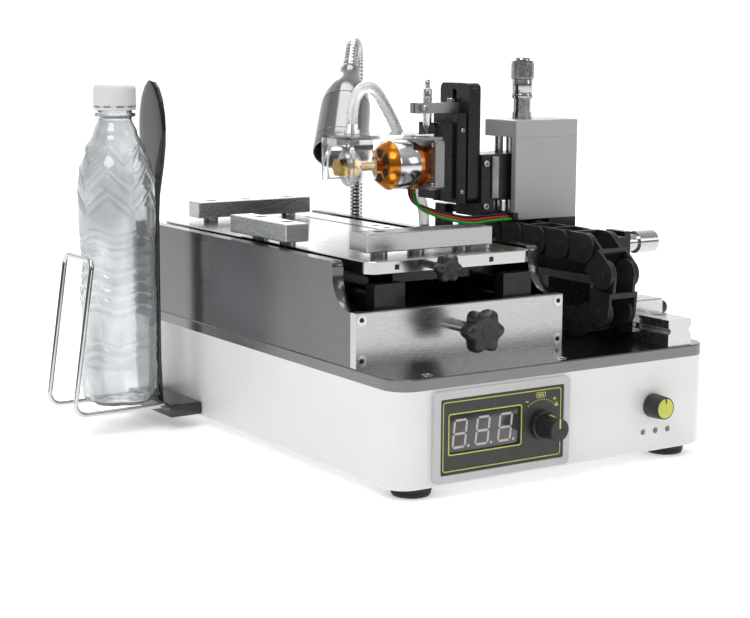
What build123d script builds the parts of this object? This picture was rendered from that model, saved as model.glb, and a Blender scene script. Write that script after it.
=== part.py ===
from build123d import *
import math
import os

# Bench-top phone-frame cutting router: a white electronics base, a table that slides between two
# side walls, and a gantry with X and Z micrometer stages that carries a small brushless spindle.
# All sizes are millimetres. Stations (x, y, z) are measured from the base's front left bottom
# corner: x to the right, y to the rear, z up. export_all() moves them so that the row's origin is
# the bottom centre of the whole object's box, at the height of the feet's undersides.

os.makedirs("parts", exist_ok=True)

# ---- driving dimensions ------------------------------------------------------------------------
BASE_W, BASE_D, BASE_H = 200.0, 290.0, 48.0
BASE_R = 12.6
WALL = 4.0
PLATE_T = 5.8
DECK = BASE_H + PLATE_T                  # top of the deck plate
FOOT_H, FOOT_R = 5.5, 10.5
FIT = 0.05                               # radial running clearance of every shaft

TROUGH_X0, TROUGH_X1 = 0.5, 128.2        # outer faces of the two side walls
TROUGH_Y0, TROUGH_Y1 = 36.1, 283.3       # outer faces of the two end plates
END_T, SIDE_T = 5.2, 6.3
FRONT_TOP, REAR_TOP = 81.0, 96.0
TABLE_Z0, TABLE_Z1 = 97.8, 104.0
TABLE_X0, TABLE_X1 = 13.4, 114.9
TABLE_Y0, TABLE_Y1 = 45.0, 271.0
ROD_R, ROD_Z = 5.0, 84.5
ROD_XS = (24.5, 103.5)
FEED_X, FEED_Z, FEED_R = 58.5, 71.0, 3.0
LOCK_X, LOCK_Z, LOCK_R = 50.0, 100.5, 1.9

BAR_Z0, BAR_Z1 = 106.3, 115.8            # clamp bars stand on low pads above the table
GROOVE_X, GROOVE_W = 97.6, 2.4

RAIL_X, RAIL_W, RAIL_H = 179.5, 16.0, 14.0
STOP_Y0, STOP_Y1 = 27.0, 43.0
LINK_PITCH, LINK_H, LINK_W = 20.0, 15.6, 19.2
CHAIN_X = 158.0                          # middle of the energy chain
CHAIN_LOW = (49.5, 62.2)                 # y, z of the anchor pin
CHAIN_TOP_Z = 102.6

MIC_SLEEVE_R, MIC_THIMBLE_R, MIC_SPINDLE_R = 4.9, 6.3, 2.0
X_MIC_Y, X_MIC_Z = 77.0, 98.6
Z_MIC_X, Z_MIC_Y = 166.0, 121.5

TOWER_X0, TOWER_X1 = 151.0, 195.0
TOWER_Y0, TOWER_Y1 = 107.0, 136.0
CAP_Z0, CAP_Z1 = 157.6, 167.2
CARRIER_Z0, CARRIER_Z1 = 111.5, 116.0
Z_ROD_X, Z_ROD_YS, Z_ROD_R = 156.5, (119.5, 130.0), 2.5

SPIN_Y, SPIN_Z = 130.0, 143.4            # the cutter spindle's axis, along x
CAN_R = 13.5
DISC_R = 10.6
PIN_X, PIN_Y, PIN_R = 105.3, 128.0, 2.3

LAMP_X, LAMP_Y = 150.0, 270.0
NECK_R = 3.8
ARCH_R, ARCH_Z = 12.0, 196.0
BOTTLE_X, BOTTLE_Y, BOTTLE_R = -38.0, 223.0, 21.5
BOTTLE_Z = 9.1

KNOB_X, KNOB_Z = 84.5, 24.0
FLOW_X, FLOW_Z = 159.5, 24.8


# ---- helpers -----------------------------------------------------------------------------------
def box(x0, x1, y0, y1, z0, z1):
    """A block between two corners."""
    return Pos((x0 + x1) / 2, (y0 + y1) / 2, (z0 + z1) / 2) * Box(x1 - x0, y1 - y0, z1 - z0)


def rod_x(x0, x1, y, z, r):
    return Pos((x0 + x1) / 2, y, z) * Rot(0, 90, 0) * Cylinder(r, x1 - x0)


def rod_y(y0, y1, x, z, r):
    return Pos(x, (y0 + y1) / 2, z) * Rot(90, 0, 0) * Cylinder(r, y1 - y0)


def rod_z(z0, z1, x, y, r):
    return Pos(x, y, (z0 + z1) / 2) * Cylinder(r, z1 - z0)


def cone_x(x0, x1, y, z, r0, r1):
    """A cone frustum along x with radius r0 at x0 and r1 at x1."""
    return Pos((x0 + x1) / 2, y, z) * Rot(0, 90, 0) * Cone(r0, r1, x1 - x0)


def cone_y(y0, y1, x, z, r0, r1):
    """A cone frustum along y with radius r0 at y0 and r1 at y1."""
    return Pos(x, (y0 + y1) / 2, z) * Rot(-90, 0, 0) * Cone(r0, r1, y1 - y0)


def cone_z(z0, z1, x, y, r0, r1):
    return Pos(x, y, (z0 + z1) / 2) * Cone(r0, r1, z1 - z0)


def slab(x0, x1, y0, y1, z0, z1, r):
    """A block with its four upright edges rounded."""
    return Pos((x0 + x1) / 2, (y0 + y1) / 2, z0) * extrude(RectangleRounded(x1 - x0, y1 - y0, r), z1 - z0)


def slab_yz(x0, x1, y0, y1, z0, z1, r):
    """A plate across x with its four edges along x rounded."""
    outline = RectangleRounded(y1 - y0, z1 - z0, r)
    return Plane.YZ * Pos((y0 + y1) / 2, (z0 + z1) / 2, x0) * extrude(outline, x1 - x0)


def slab_xz(y0, y1, x0, x1, z0, z1, r):
    """A plate across y with its four edges along y rounded."""
    outline = RectangleRounded(x1 - x0, z1 - z0, r)
    return Plane.XZ * Pos((x0 + x1) / 2, (z0 + z1) / 2, -y1) * extrude(outline, y1 - y0)


def flat_screw_z(x, y, top, r_head=3.0, r=1.5, depth=9.0, grow=0.0):
    """A countersunk screw with its head flush at top, axis along z."""
    head = cone_z(top - 1.7, top, x, y, r + grow, r_head + grow)
    return head + rod_z(top - depth, top - 1.6, x, y, r + grow)


def flat_screw_y(x, z, front, r_head=3.0, r=1.5, depth=9.0, grow=0.0):
    """A countersunk screw with its head flush at front, axis along y."""
    head = cone_y(front, front + 1.7, x, z, r_head + grow, r + grow)
    return head + rod_y(front + 1.6, front + depth, x, z, r + grow)


def cap_screw(x, y, top, bottom, grow=0.0, r_head=3.4, r=2.0):
    """A socket cap screw whose head is sunk below top, axis along z."""
    body = rod_z(top - 4.4, top - 0.4 + grow * 8, x, y, r_head + grow)
    body += rod_z(bottom, top - 4.3, x, y, r + grow)
    if grow == 0.0:
        body -= Pos(x, y, top - 1.4) * extrude(RegularPolygon(1.7, 6), 2.0)
    return body


def star(radius, lobe, y0, y1, x, z):
    """A six-lobed star grip along y."""
    ring = radius - lobe
    body = rod_y(y0, y1, x, z, ring)
    for k in range(6):
        a = math.radians(60 * k + 30)
        body += rod_y(y0, y1, x + ring * math.cos(a), z + ring * math.sin(a), lobe)
    return body


def tube(points, radius, radii=None):
    """A round bar along straight runs joined by tangent arcs; prints the arc radii."""
    if radii is None:
        radii = fitted_radii(points)
    path = FilletPolyline(*points, radius=radii)
    start = Vector(*points[0])
    direction = Vector(*points[1]) - start
    profile = Plane(origin=start, z_dir=direction) * Circle(radius)
    return sweep(profile, path=path), path


def fitted_radii(points):
    """Arc radius of each corner: 0.45 of the shorter run over the tangent of half the turn."""
    radii = []
    for a, b, c in zip(points, points[1:], points[2:]):
        into = Vector(*b) - Vector(*a)
        out = Vector(*c) - Vector(*b)
        turn = math.radians(into.get_angle(out))
        radii.append(0.45 * min(into.length, out.length) / math.tan(turn / 2))
    return radii


NODES = {}
CORDS = ("water_hose", "motor_leads")


def save(name, *shapes):
    """Keep one node for export: one shape, or several separate solids."""
    NODES[name] = [solid for shape in shapes for solid in shape.solids()]


def export_all():
    """Write every node with the row's origin at the bottom centre of the whole object's box."""
    held = Compound([s for name, solids in NODES.items() if name not in CORDS for s in solids])
    room = held.bounding_box()
    origin = ((room.min.X + room.max.X) / 2, (room.min.Y + room.max.Y) / 2, room.min.Z)
    print("row origin at station", [round(v, 4) for v in origin])
    place = Pos(-origin[0], -origin[1], -origin[2])
    for name, solids in NODES.items():
        moved = [place * solid for solid in solids]
        bad = [s for s in moved if not s.is_valid or s.volume <= 0]
        if bad:
            print("INVALID", name, len(bad))
        export_step(moved[0] if len(moved) == 1 else Compound(moved), f"parts/{name}.step")


# ---- base --------------------------------------------------------------------------------------
DECK_SCREWS = [(x, y) for y in (7.0, BASE_D - 7.0) for x in (22.0, 104.0, 180.0)]
DECK_SCREWS += [(BASE_W - 7.0, 110.0), (BASE_W - 7.0, 200.0)]
TROUGH_SCREW_XS = (TROUGH_X0 + SIDE_T / 2, TROUGH_X1 - SIDE_T / 2)
TROUGH_SCREW_ZS = (DECK + 3.7, FRONT_TOP - 3.4)
HOLE_XS = (154.2, 162.7, 171.1)


def make_base():
    shell = slab(0, BASE_W, 0, BASE_D, 0, BASE_H, BASE_R)
    shell = fillet(shell.edges().group_by(Axis.Z)[0], 1.5)
    shell -= slab(WALL, BASE_W - WALL, WALL, BASE_D - WALL, 3.0, BASE_H + 1, BASE_R - WALL)
    for x, y in DECK_SCREWS:
        shell += rod_z(3.0, BASE_H, x, y, 4.5) & slab(1, BASE_W - 1, 1, BASE_D - 1, 0, BASE_H, BASE_R - 1)
        shell -= rod_z(BASE_H - 6, BASE_H + 1, x, y, 1.55)
    shell -= box(28, 95, -1, WALL + 1, 9, 39)
    shell -= rod_y(-1, WALL + 1, FLOW_X, FLOW_Z, 3.0 + FIT)
    for x in HOLE_XS:
        shell -= rod_y(-1, WALL + 1, x, 11.0, 1.7)
    shell -= box(118, 152, BASE_D - WALL - 1, BASE_D + 1, 12, 36)
    save("base_shell", shell)

    feet = []
    for x in (18.0, BASE_W - 18.0):
        for y in (14.0, BASE_D - 14.0):
            feet.append(cone_z(-FOOT_H, 0, x, y, FOOT_R - 1.6, FOOT_R))
    save("feet", *feet)

    deck = slab(0, BASE_W, 0, BASE_D, BASE_H, DECK, BASE_R)
    deck = chamfer(deck.edges().group_by(Axis.Z)[-1], 0.6)
    for x, y in DECK_SCREWS:
        deck -= flat_screw_z(x, y, DECK, depth=7.0, grow=0.03)
    save("deck_plate", deck)

    screws = [flat_screw_z(x, y, DECK, depth=11.0) for x, y in DECK_SCREWS]
    for x in TROUGH_SCREW_XS:
        for z in TROUGH_SCREW_ZS:
            screws.append(flat_screw_y(x, z, TROUGH_Y0, depth=12.0))
    save("cover_screws", *screws)


def make_panel():
    bezel = slab_xz(-2.5, 0, 20.0, 102.6, 2.0, 46.8, 2.5)
    bezel -= slab_xz(-3, 1, 23.8, 98.8, 5.8, 43.0, 1.0)
    save("panel_bezel", bezel)

    face = slab_xz(-1.8, -0.05, 23.9, 98.7, 5.9, 42.9, 1.2)
    face -= slab_xz(-3, -0.9, 29.3, 72.0, 15.9, 34.8, 1.5)
    face -= rod_y(-3, 1, KNOB_X, KNOB_Z, 3.0 + FIT)
    save("panel_face", face)

    module = box(28.1, 94.9, 0, 26, 9.1, 38.9)
    module += box(34, 66, 26, 34, 12, 30)
    module -= rod_y(-1, 12, KNOB_X, KNOB_Z, 3.0 + FIT)
    save("governor_module", module)


    knob = cone_y(-17.0, -5.2, KNOB_X, KNOB_Z, 5.2, 6.0)
    knob += rod_y(-5.2, -3.0, KNOB_X, KNOB_Z, 7.3)
    knob += rod_y(-3.1, 10.0, KNOB_X, KNOB_Z, 3.0)
    knob -= box(KNOB_X - 0.5, KNOB_X + 0.5, -18, -16.5, KNOB_Z + 0.5, KNOB_Z + 6)
    save("governor_knob", knob)

    flow = cone_y(-10.5, -0.6, FLOW_X, FLOW_Z, 5.7, 6.3)
    flow += rod_y(-0.7, 9.0, FLOW_X, FLOW_Z, 3.0)
    flow -= box(FLOW_X - 0.6, FLOW_X + 0.6, -11, -9.9, FLOW_Z + 1.0, FLOW_Z + 7)
    save("flow_knob", flow)

    inlet = box(118.1, 151.9, BASE_D - 14, BASE_D + 0.1, 12.1, 35.9)
    inlet += slab_xz(BASE_D, BASE_D + 2, 111, 159, 8, 40, 2.0)
    inlet -= box(123, 147, BASE_D - 9, BASE_D + 3, 16, 32)
    for k in (-7, 0, 7):
        inlet += box(135 + k - 1.0, 135 + k + 1.0, BASE_D - 10, BASE_D - 2, 22, 26)
    save("power_inlet", inlet)


# ---- table guide, table and clamps ------------------------------------------------------------
def trough_wall(x0, x1):
    """A side wall: its upper front edge stands back and sweeps down to the front plate."""
    y0, y1 = TROUGH_Y0 + END_T, TROUGH_Y1 - END_T
    step, sweep_r, corner = 57.8, 16.0, 3.0
    wall = box(x0, x1, y0, y1, DECK, FRONT_TOP)
    wall += box(x0, x1, step, y1, DECK, TABLE_Z1)
    foot = box(x0, x1, y0, step + 1, FRONT_TOP - 1, FRONT_TOP + sweep_r)
    foot -= rod_x(x0 - 1, x1 + 1, step - sweep_r, FRONT_TOP + sweep_r, sweep_r)
    foot -= box(x0 - 1, x1 + 1, y0 - 1, step - sweep_r, FRONT_TOP, FRONT_TOP + sweep_r + 1)
    wall += foot
    edge = box(x0 - 1, x1 + 1, step - 1, step + corner, TABLE_Z1 - corner, TABLE_Z1 + 1)
    edge -= rod_x(x0 - 2, x1 + 2, step + corner, TABLE_Z1 - corner, corner)
    return wall - edge


def make_trough():
    front = box(TROUGH_X0, TROUGH_X1, TROUGH_Y0, TROUGH_Y0 + END_T, DECK, FRONT_TOP)
    front = chamfer(front.edges().filter_by(Axis.X).group_by(Axis.Z)[-1], 0.5)
    for x in TROUGH_SCREW_XS:
        for z in TROUGH_SCREW_ZS:
            front -= flat_screw_y(x, z, TROUGH_Y0, depth=8.0, grow=0.03)
    front -= rod_y(TROUGH_Y0 - 1, TROUGH_Y0 + END_T + 1, FEED_X, FEED_Z, FEED_R + FIT)
    rear = box(TROUGH_X0, TROUGH_X1, TROUGH_Y1 - END_T, TROUGH_Y1, DECK, REAR_TOP)
    rear -= rod_y(TROUGH_Y1 - END_T - 1, TROUGH_Y1 + 1, FEED_X, FEED_Z, FEED_R + FIT)
    save("trough_end_plates", front, rear)

    walls = [trough_wall(TROUGH_X0, TROUGH_X0 + SIDE_T), trough_wall(TROUGH_X1 - SIDE_T, TROUGH_X1)]
    for i, x in enumerate(TROUGH_SCREW_XS):
        for z in TROUGH_SCREW_ZS:
            walls[i] -= rod_y(TROUGH_Y0, TROUGH_Y0 + 13, x, z, 1.53)
    save("trough_walls", *walls)

    rods, supports = [], []
    for x in ROD_XS:
        rods.append(rod_y(43.0, 276.0, x, ROD_Z, ROD_R))
        for y in (43.0, 268.0):
            block = box(x - 9, x + 9, y, y + 8, DECK, ROD_Z + 8.5)
            supports.append(block - rod_y(y - 1, y + 9, x, ROD_Z, ROD_R + 0.01))
    save("table_guides", *rods, *supports)


def bar_pads(points):
    pads = [rod_z(TABLE_Z1 + 0.02, BAR_Z0 + 0.1, x, y, 4.4) for x, y in points]
    return pads


FRONT_BAR = (21.6, 99.4, 59.2, 76.0)
REAR_BAR = (26.3, 102.7, 248.0, 262.0)
SIDE_BAR = (9.4, 23.4, 118.0, 179.0)
FRONT_SCREWS = [(34.0, 67.6), (56.5, 67.6), (84.0, 67.6)]
REAR_SCREWS = [(37.5, 255.0), (61.0, 255.0), (91.0, 255.0)]
SIDE_SCREWS = [(18.0, 131.0), (18.0, 160.0)]


def make_table():
    table = slab(TABLE_X0, TABLE_X1, TABLE_Y0, TABLE_Y1, TABLE_Z0, TABLE_Z1, 6.0)
    table = chamfer(table.edges().group_by(Axis.Z)[-1], 0.4)
    table -= box(GROOVE_X - GROOVE_W / 2, GROOVE_X + GROOVE_W / 2, 56, 246, TABLE_Z1 - 2.6, TABLE_Z1 + 1)
    table -= rod_y(TABLE_Y0 - 1, 58, LOCK_X, LOCK_Z, LOCK_R + FIT)
    for x, y in REAR_SCREWS + SIDE_SCREWS:
        table -= rod_z(TABLE_Z1 - 5, TABLE_Z1 + 1, x, y, 2.01)
    for y in (96.0, 108.0, 170.0, 182.0, 200.0):
        table -= rod_z(TABLE_Z1 - 5, TABLE_Z1 + 1, 107.0, y, 1.7)
    save("table_plate", table)

    slide = box(33.5, 80.5, 54, 258, TABLE_Z0 - 6.2, TABLE_Z0)
    nut = box(50, 67, 118, 142, FEED_Z - 8, TABLE_Z0 - 6.2)
    nut -= rod_y(117, 143, FEED_X, FEED_Z, FEED_R + FIT)
    bearings = []
    for x0, x1, rod in ((16.0, 33.4, ROD_XS[0]), (95.0, 112.4, ROD_XS[1])):
        for y in (76.0, 214.0):
            block = box(x0, x1, y, y + 30, ROD_Z - 9, TABLE_Z0)
            bearings.append(block - rod_y(y - 1, y + 31, rod, ROD_Z, ROD_R + FIT))
    save("table_slide", slide, nut, *bearings)


def clamp_bar(extent, screws):
    x0, x1, y0, y1 = extent
    bar = box(x0, x1, y0, y1, BAR_Z0, BAR_Z1)
    bar = chamfer(bar.edges(), 0.5)
    for pad in bar_pads(screws):
        bar += pad
    for x, y in screws:
        bar -= cap_screw(x, y, BAR_Z1, TABLE_Z1 - 1, grow=0.1)
    return bar


def make_clamps():
    save("rear_clamp_bar", clamp_bar(REAR_BAR, REAR_SCREWS))
    save("side_clamp_bar", clamp_bar(SIDE_BAR, SIDE_SCREWS))
    fixed = [cap_screw(x, y, BAR_Z1, TABLE_Z1 - 4) for x, y in REAR_SCREWS + SIDE_SCREWS]
    save("fixed_bar_screws", *fixed)
    front = clamp_bar(FRONT_BAR, FRONT_SCREWS)
    key = GROOVE_W / 2 - 0.08
    front += box(GROOVE_X - key, GROOVE_X + key, 61, 74, TABLE_Z1 - 2.4, BAR_Z0 + 0.1)
    loose = [cap_screw(x, y, BAR_Z1, TABLE_Z1 + 0.1) for x, y in FRONT_SCREWS]
    save("front_clamp_bar", front, *loose)


def make_table_knobs():
    feed = star(11.4, 3.6, 8.0, 17.0, FEED_X, FEED_Z)
    feed += rod_y(16.9, 21.0, FEED_X, FEED_Z, 5.6)
    feed -= rod_y(10.0, 22.0, FEED_X, FEED_Z, FEED_R + 0.01)
    save("feed_knob", feed)
    save("feed_screw", rod_y(10.0, 282.0, FEED_X, FEED_Z, FEED_R))
    lock = star(7.3, 2.3, 27.0, 33.5, LOCK_X, LOCK_Z)
    lock += rod_y(33.4, 37.0, LOCK_X, LOCK_Z, 3.4)
    lock += rod_y(36.9, 56.0, LOCK_X, LOCK_Z, LOCK_R)
    save("lock_knob", lock)


# ---- gantry ------------------------------------------------------------------------------------
def make_rail():
    x0, x1 = RAIL_X - RAIL_W / 2, RAIL_X + RAIL_W / 2
    rail = box(x0, x1, 2, 282, DECK, DECK + RAIL_H)
    for x in (x0, x1):
        rail -= rod_y(1, 283, x, DECK + 8.0, 1.6)
    for k in range(7):
        rail -= rod_z(DECK + RAIL_H - 4, DECK + RAIL_H + 1, RAIL_X, 20 + 40 * k, 3.2)
    save("gantry_rail", rail)

    stop = box(x0 - 2.4, x1 + 2.4, STOP_Y0, STOP_Y1, DECK + 4.5, DECK + RAIL_H + 7.2)
    stop = chamfer(stop.edges().group_by(Axis.Z)[-1], 0.6)
    stop -= box(x0 - 0.06, x1 + 0.06, STOP_Y0 - 1, STOP_Y1 + 1, DECK, DECK + RAIL_H + 0.06)
    knob = rod_x(x1 + 2.4, x1 + 7.0, STOP_Y0 + 4.6, DECK + RAIL_H + 1.6, 3.4)
    save("rail_stop", stop, knob)

    carriages = []
    for y in (62.0, 114.0):
        block = box(x0 - 2.8, x1 + 2.8, y, y + 36, DECK + 4.0, 80.0)
        block -= box(x0 - 0.06, x1 + 0.06, y - 1, y + 37, DECK, DECK + RAIL_H + 0.06)
        carriages.append(block)
    save("saddle_carriages", *carriages)


def make_saddle():
    saddle = box(RAIL_X - RAIL_W / 2 - 2.8, 199.0, 57.5, 152.0, 80.0, 84.0)
    saddle += box(149.0, 172.0, 146.0, 158.0, 80.0, 84.0)
    saddle += box(168.7, 199.0, 151.0, 158.0, 80.0, 84.0)
    saddle += box(149.0, 167.0, 153.0, 158.0, 83.9, CHAIN_TOP_Z + 6)
    saddle += box(CHAIN_X - 5.6, CHAIN_X + 5.6, 139.0, 153.1, CHAIN_TOP_Z - 5, CHAIN_TOP_Z + 5)
    save("gantry_saddle", saddle)

    base = box(171.0, 199.0, 62.0, 118.0, 84.0, 92.0)
    base += box(171.0, 199.0, 88.0, 104.0, 91.9, 96.0)
    bracket = box(199.0, 203.5, 69.0, 85.0, 84.0, X_MIC_Z + 7.5)
    base += bracket
    base -= rod_x(198, 205, X_MIC_Y, X_MIC_Z, MIC_SPINDLE_R + FIT)
    save("x_base", base)

    sleeve = rod_x(203.5, 219.0, X_MIC_Y, X_MIC_Z, MIC_SLEEVE_R)
    sleeve += rod_x(203.5, 208.0, X_MIC_Y, X_MIC_Z, MIC_SLEEVE_R + 0.9)
    sleeve -= rod_x(203, 220, X_MIC_Y, X_MIC_Z, MIC_SPINDLE_R + FIT)
    save("x_mic_sleeve", sleeve)

    thimble = rod_x(213.0, 226.4, X_MIC_Y, X_MIC_Z, MIC_THIMBLE_R)
    thimble += rod_x(226.3, 228.0, X_MIC_Y, X_MIC_Z, 4.2)
    thimble -= rod_x(212, 224.0, X_MIC_Y, X_MIC_Z, MIC_SLEEVE_R + FIT)
    thimble += rod_x(195.1, 225.0, X_MIC_Y, X_MIC_Z, MIC_SPINDLE_R)
    save("x_mic_thimble", thimble)


def link(y, z, angle):
    """One chain link from pin (y, z) to the next at angle: outer cheeks behind, inner ahead."""
    half, cheek = LINK_W / 2, 1.7
    r = LINK_H / 2
    pieces = None
    for side in (-1, 1):
        outer = rod_x(0, cheek, 0, 0, r) + box(0, cheek, 0, LINK_PITCH / 2 + 1.0, -r, r)
        outer = Pos(side * half - (cheek if side > 0 else 0), 0, 0) * outer
        inner = rod_x(0, cheek, LINK_PITCH, 0, r) + box(0, cheek, LINK_PITCH / 2 - 1.0, LINK_PITCH, -r, r)
        shift = side * (half - cheek - 0.35) - (cheek if side > 0 else 0)
        inner = Pos(shift, 0, 0) * inner
        web_x = sorted((side * (half - 0.01), side * (half - 2 * cheek - 0.34)))
        web = box(web_x[0], web_x[1], LINK_PITCH / 2 - 1.4, LINK_PITCH / 2 + 1.4, -r, r)
        head = rod_x(0, 0.4, 0, 0, 2.0)
        head = Pos(side * half - (0.0 if side > 0 else 0.4), 0, 0) * head
        part = outer + inner + web + head
        pieces = part if pieces is None else pieces + part
    for top in (-1, 1):
        zs = sorted((top * r, top * (r - 1.8)))
        pieces += box(-half + 0.5, half - 0.5, LINK_PITCH / 2 - 1.4, LINK_PITCH / 2 + 1.4, zs[0], zs[1])
    return Pos(CHAIN_X, y, z) * Rot(angle, 0, 0) * pieces


def chain_pins():
    """Pins of the three bend links, from the anchor up to the straight run."""
    pins = [CHAIN_LOW]
    y, z = CHAIN_LOW
    for angle in BEND_ANGLES:
        y += LINK_PITCH * math.cos(math.radians(angle))
        z += LINK_PITCH * math.sin(math.radians(angle))
        pins.append((y, z))
    return pins


BEND_ANGLES = (157.0, 95.4, 40.0)        # direction of each bend link, from +y towards +z


def make_chain():
    pins = chain_pins()
    bend = [link(y, z, a) for (y, z), a in zip(pins, BEND_ANGLES)]
    save("chain_bend", *bend)
    y, z = pins[-1]
    print("straight run starts at pin", round(y, 2), round(z, 2))
    run = [link(y + LINK_PITCH * k, z, 0) for k in range(5)]
    save("chain_run", *run)

    half = LINK_W / 2
    anchor = box(CHAIN_X - half, CHAIN_X + half, CHAIN_LOW[0] + 8.2, 72.0, DECK, DECK + 3.0)
    for side in (-1, 1):
        xs = sorted((side * (half - 2.05), side * (half - 3.75)))
        cheek = box(CHAIN_X + xs[0], CHAIN_X + xs[1], CHAIN_LOW[0], 62.0, CHAIN_LOW[1] - 7.0, CHAIN_LOW[1] + 7.0)
        cheek += rod_x(CHAIN_X + xs[0], CHAIN_X + xs[1], CHAIN_LOW[0], CHAIN_LOW[1], 7.0)
        foot = box(CHAIN_X + xs[0], CHAIN_X + xs[1], CHAIN_LOW[0] + 8.2, 70.0, DECK, CHAIN_LOW[1] + 3.0)
        anchor += cheek + foot
    save("chain_anchor", anchor)


# ---- X stage and tower -------------------------------------------------------------------------
def make_x_stage():
    slide = box(175.5, 195.0, 62.0, 118.0, 92.3, 104.0)
    slide -= box(174, 196, 88.0 - FIT, 104.0 + FIT, 92.0, 96.3)
    slide += box(175.5, 195.0, 107.0, 150.0, 103.9, CARRIER_Z0)
    slide += box(TOWER_X0, 197.0, TOWER_Y0 + 4.2, 165.0, CARRIER_Z0, CARRIER_Z1)
    slide += box(132.6, 153.0, 168.5, 178.5, 90.0, 94.0)
    slide += box(147.0, 153.0, 168.5, 178.5, 90.0, CARRIER_Z1)
    slide += box(150.0, 160.0, 158.0, 178.5, CARRIER_Z0, CARRIER_Z1)
    slide += box(147.5, TOWER_X0 + 1, 104.0, 112.0, CARRIER_Z0 + 0.2, CARRIER_Z1)
    slide -= box(TOWER_X0 - 0.02, TOWER_X0 + 2, 103.0, TOWER_Y0 + 4.1, CARRIER_Z0, CARRIER_Z1 + 1)
    slide += rod_z(93.9, HOSE_END_Z + 6.0, HOSE_END_X, HOSE_END_Y, 1.6)
    slide += rod_z(93.9, HOSE_END_Z, HOSE_END_X, HOSE_END_Y, 3.4)
    save("x_slide", slide)

    column = box(TOWER_X0, TOWER_X1, TOWER_Y0, TOWER_Y0 + 4.0, CARRIER_Z0, CAP_Z0)
    column += box(177.0, TOWER_X1, TOWER_Y0 + 3.9, TOWER_Y1, CARRIER_Z1, CAP_Z0)
    save("tower_column", column)

    cap = box(TOWER_X0, TOWER_X1, TOWER_Y0, TOWER_Y1, CAP_Z0, CAP_Z1)
    cap = chamfer(cap.edges().group_by(Axis.Z)[-1], 0.5)
    cap -= rod_z(CAP_Z0 - 1, CAP_Z1 + 1, Z_MIC_X, Z_MIC_Y, MIC_SPINDLE_R + FIT)
    save("tower_cap", cap)

    rods = [rod_z(CARRIER_Z1, CAP_Z0, Z_ROD_X, y, Z_ROD_R) for y in Z_ROD_YS]
    save("z_guide_rods", *rods)

    sleeve = rod_z(CAP_Z1, 186.0, Z_MIC_X, Z_MIC_Y, MIC_SLEEVE_R)
    sleeve += rod_z(CAP_Z1, 171.0, Z_MIC_X, Z_MIC_Y, MIC_SLEEVE_R + 0.7)
    sleeve -= rod_z(CAP_Z1 - 1, 187.0, Z_MIC_X, Z_MIC_Y, MIC_SPINDLE_R + FIT)
    save("z_mic_sleeve", sleeve)

    thimble = rod_z(178.6, 189.4, Z_MIC_X, Z_MIC_Y, 5.7)
    thimble += rod_z(189.3, 199.6, Z_MIC_X, Z_MIC_Y, MIC_THIMBLE_R)
    thimble += rod_z(199.5, 201.3, Z_MIC_X, Z_MIC_Y, 4.2)
    thimble -= rod_z(178.0, 195.5, Z_MIC_X, Z_MIC_Y, MIC_SLEEVE_R + FIT)
    thimble += rod_z(148.6, 196.0, Z_MIC_X, Z_MIC_Y, MIC_SPINDLE_R)
    save("z_mic_thimble", thimble)


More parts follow.
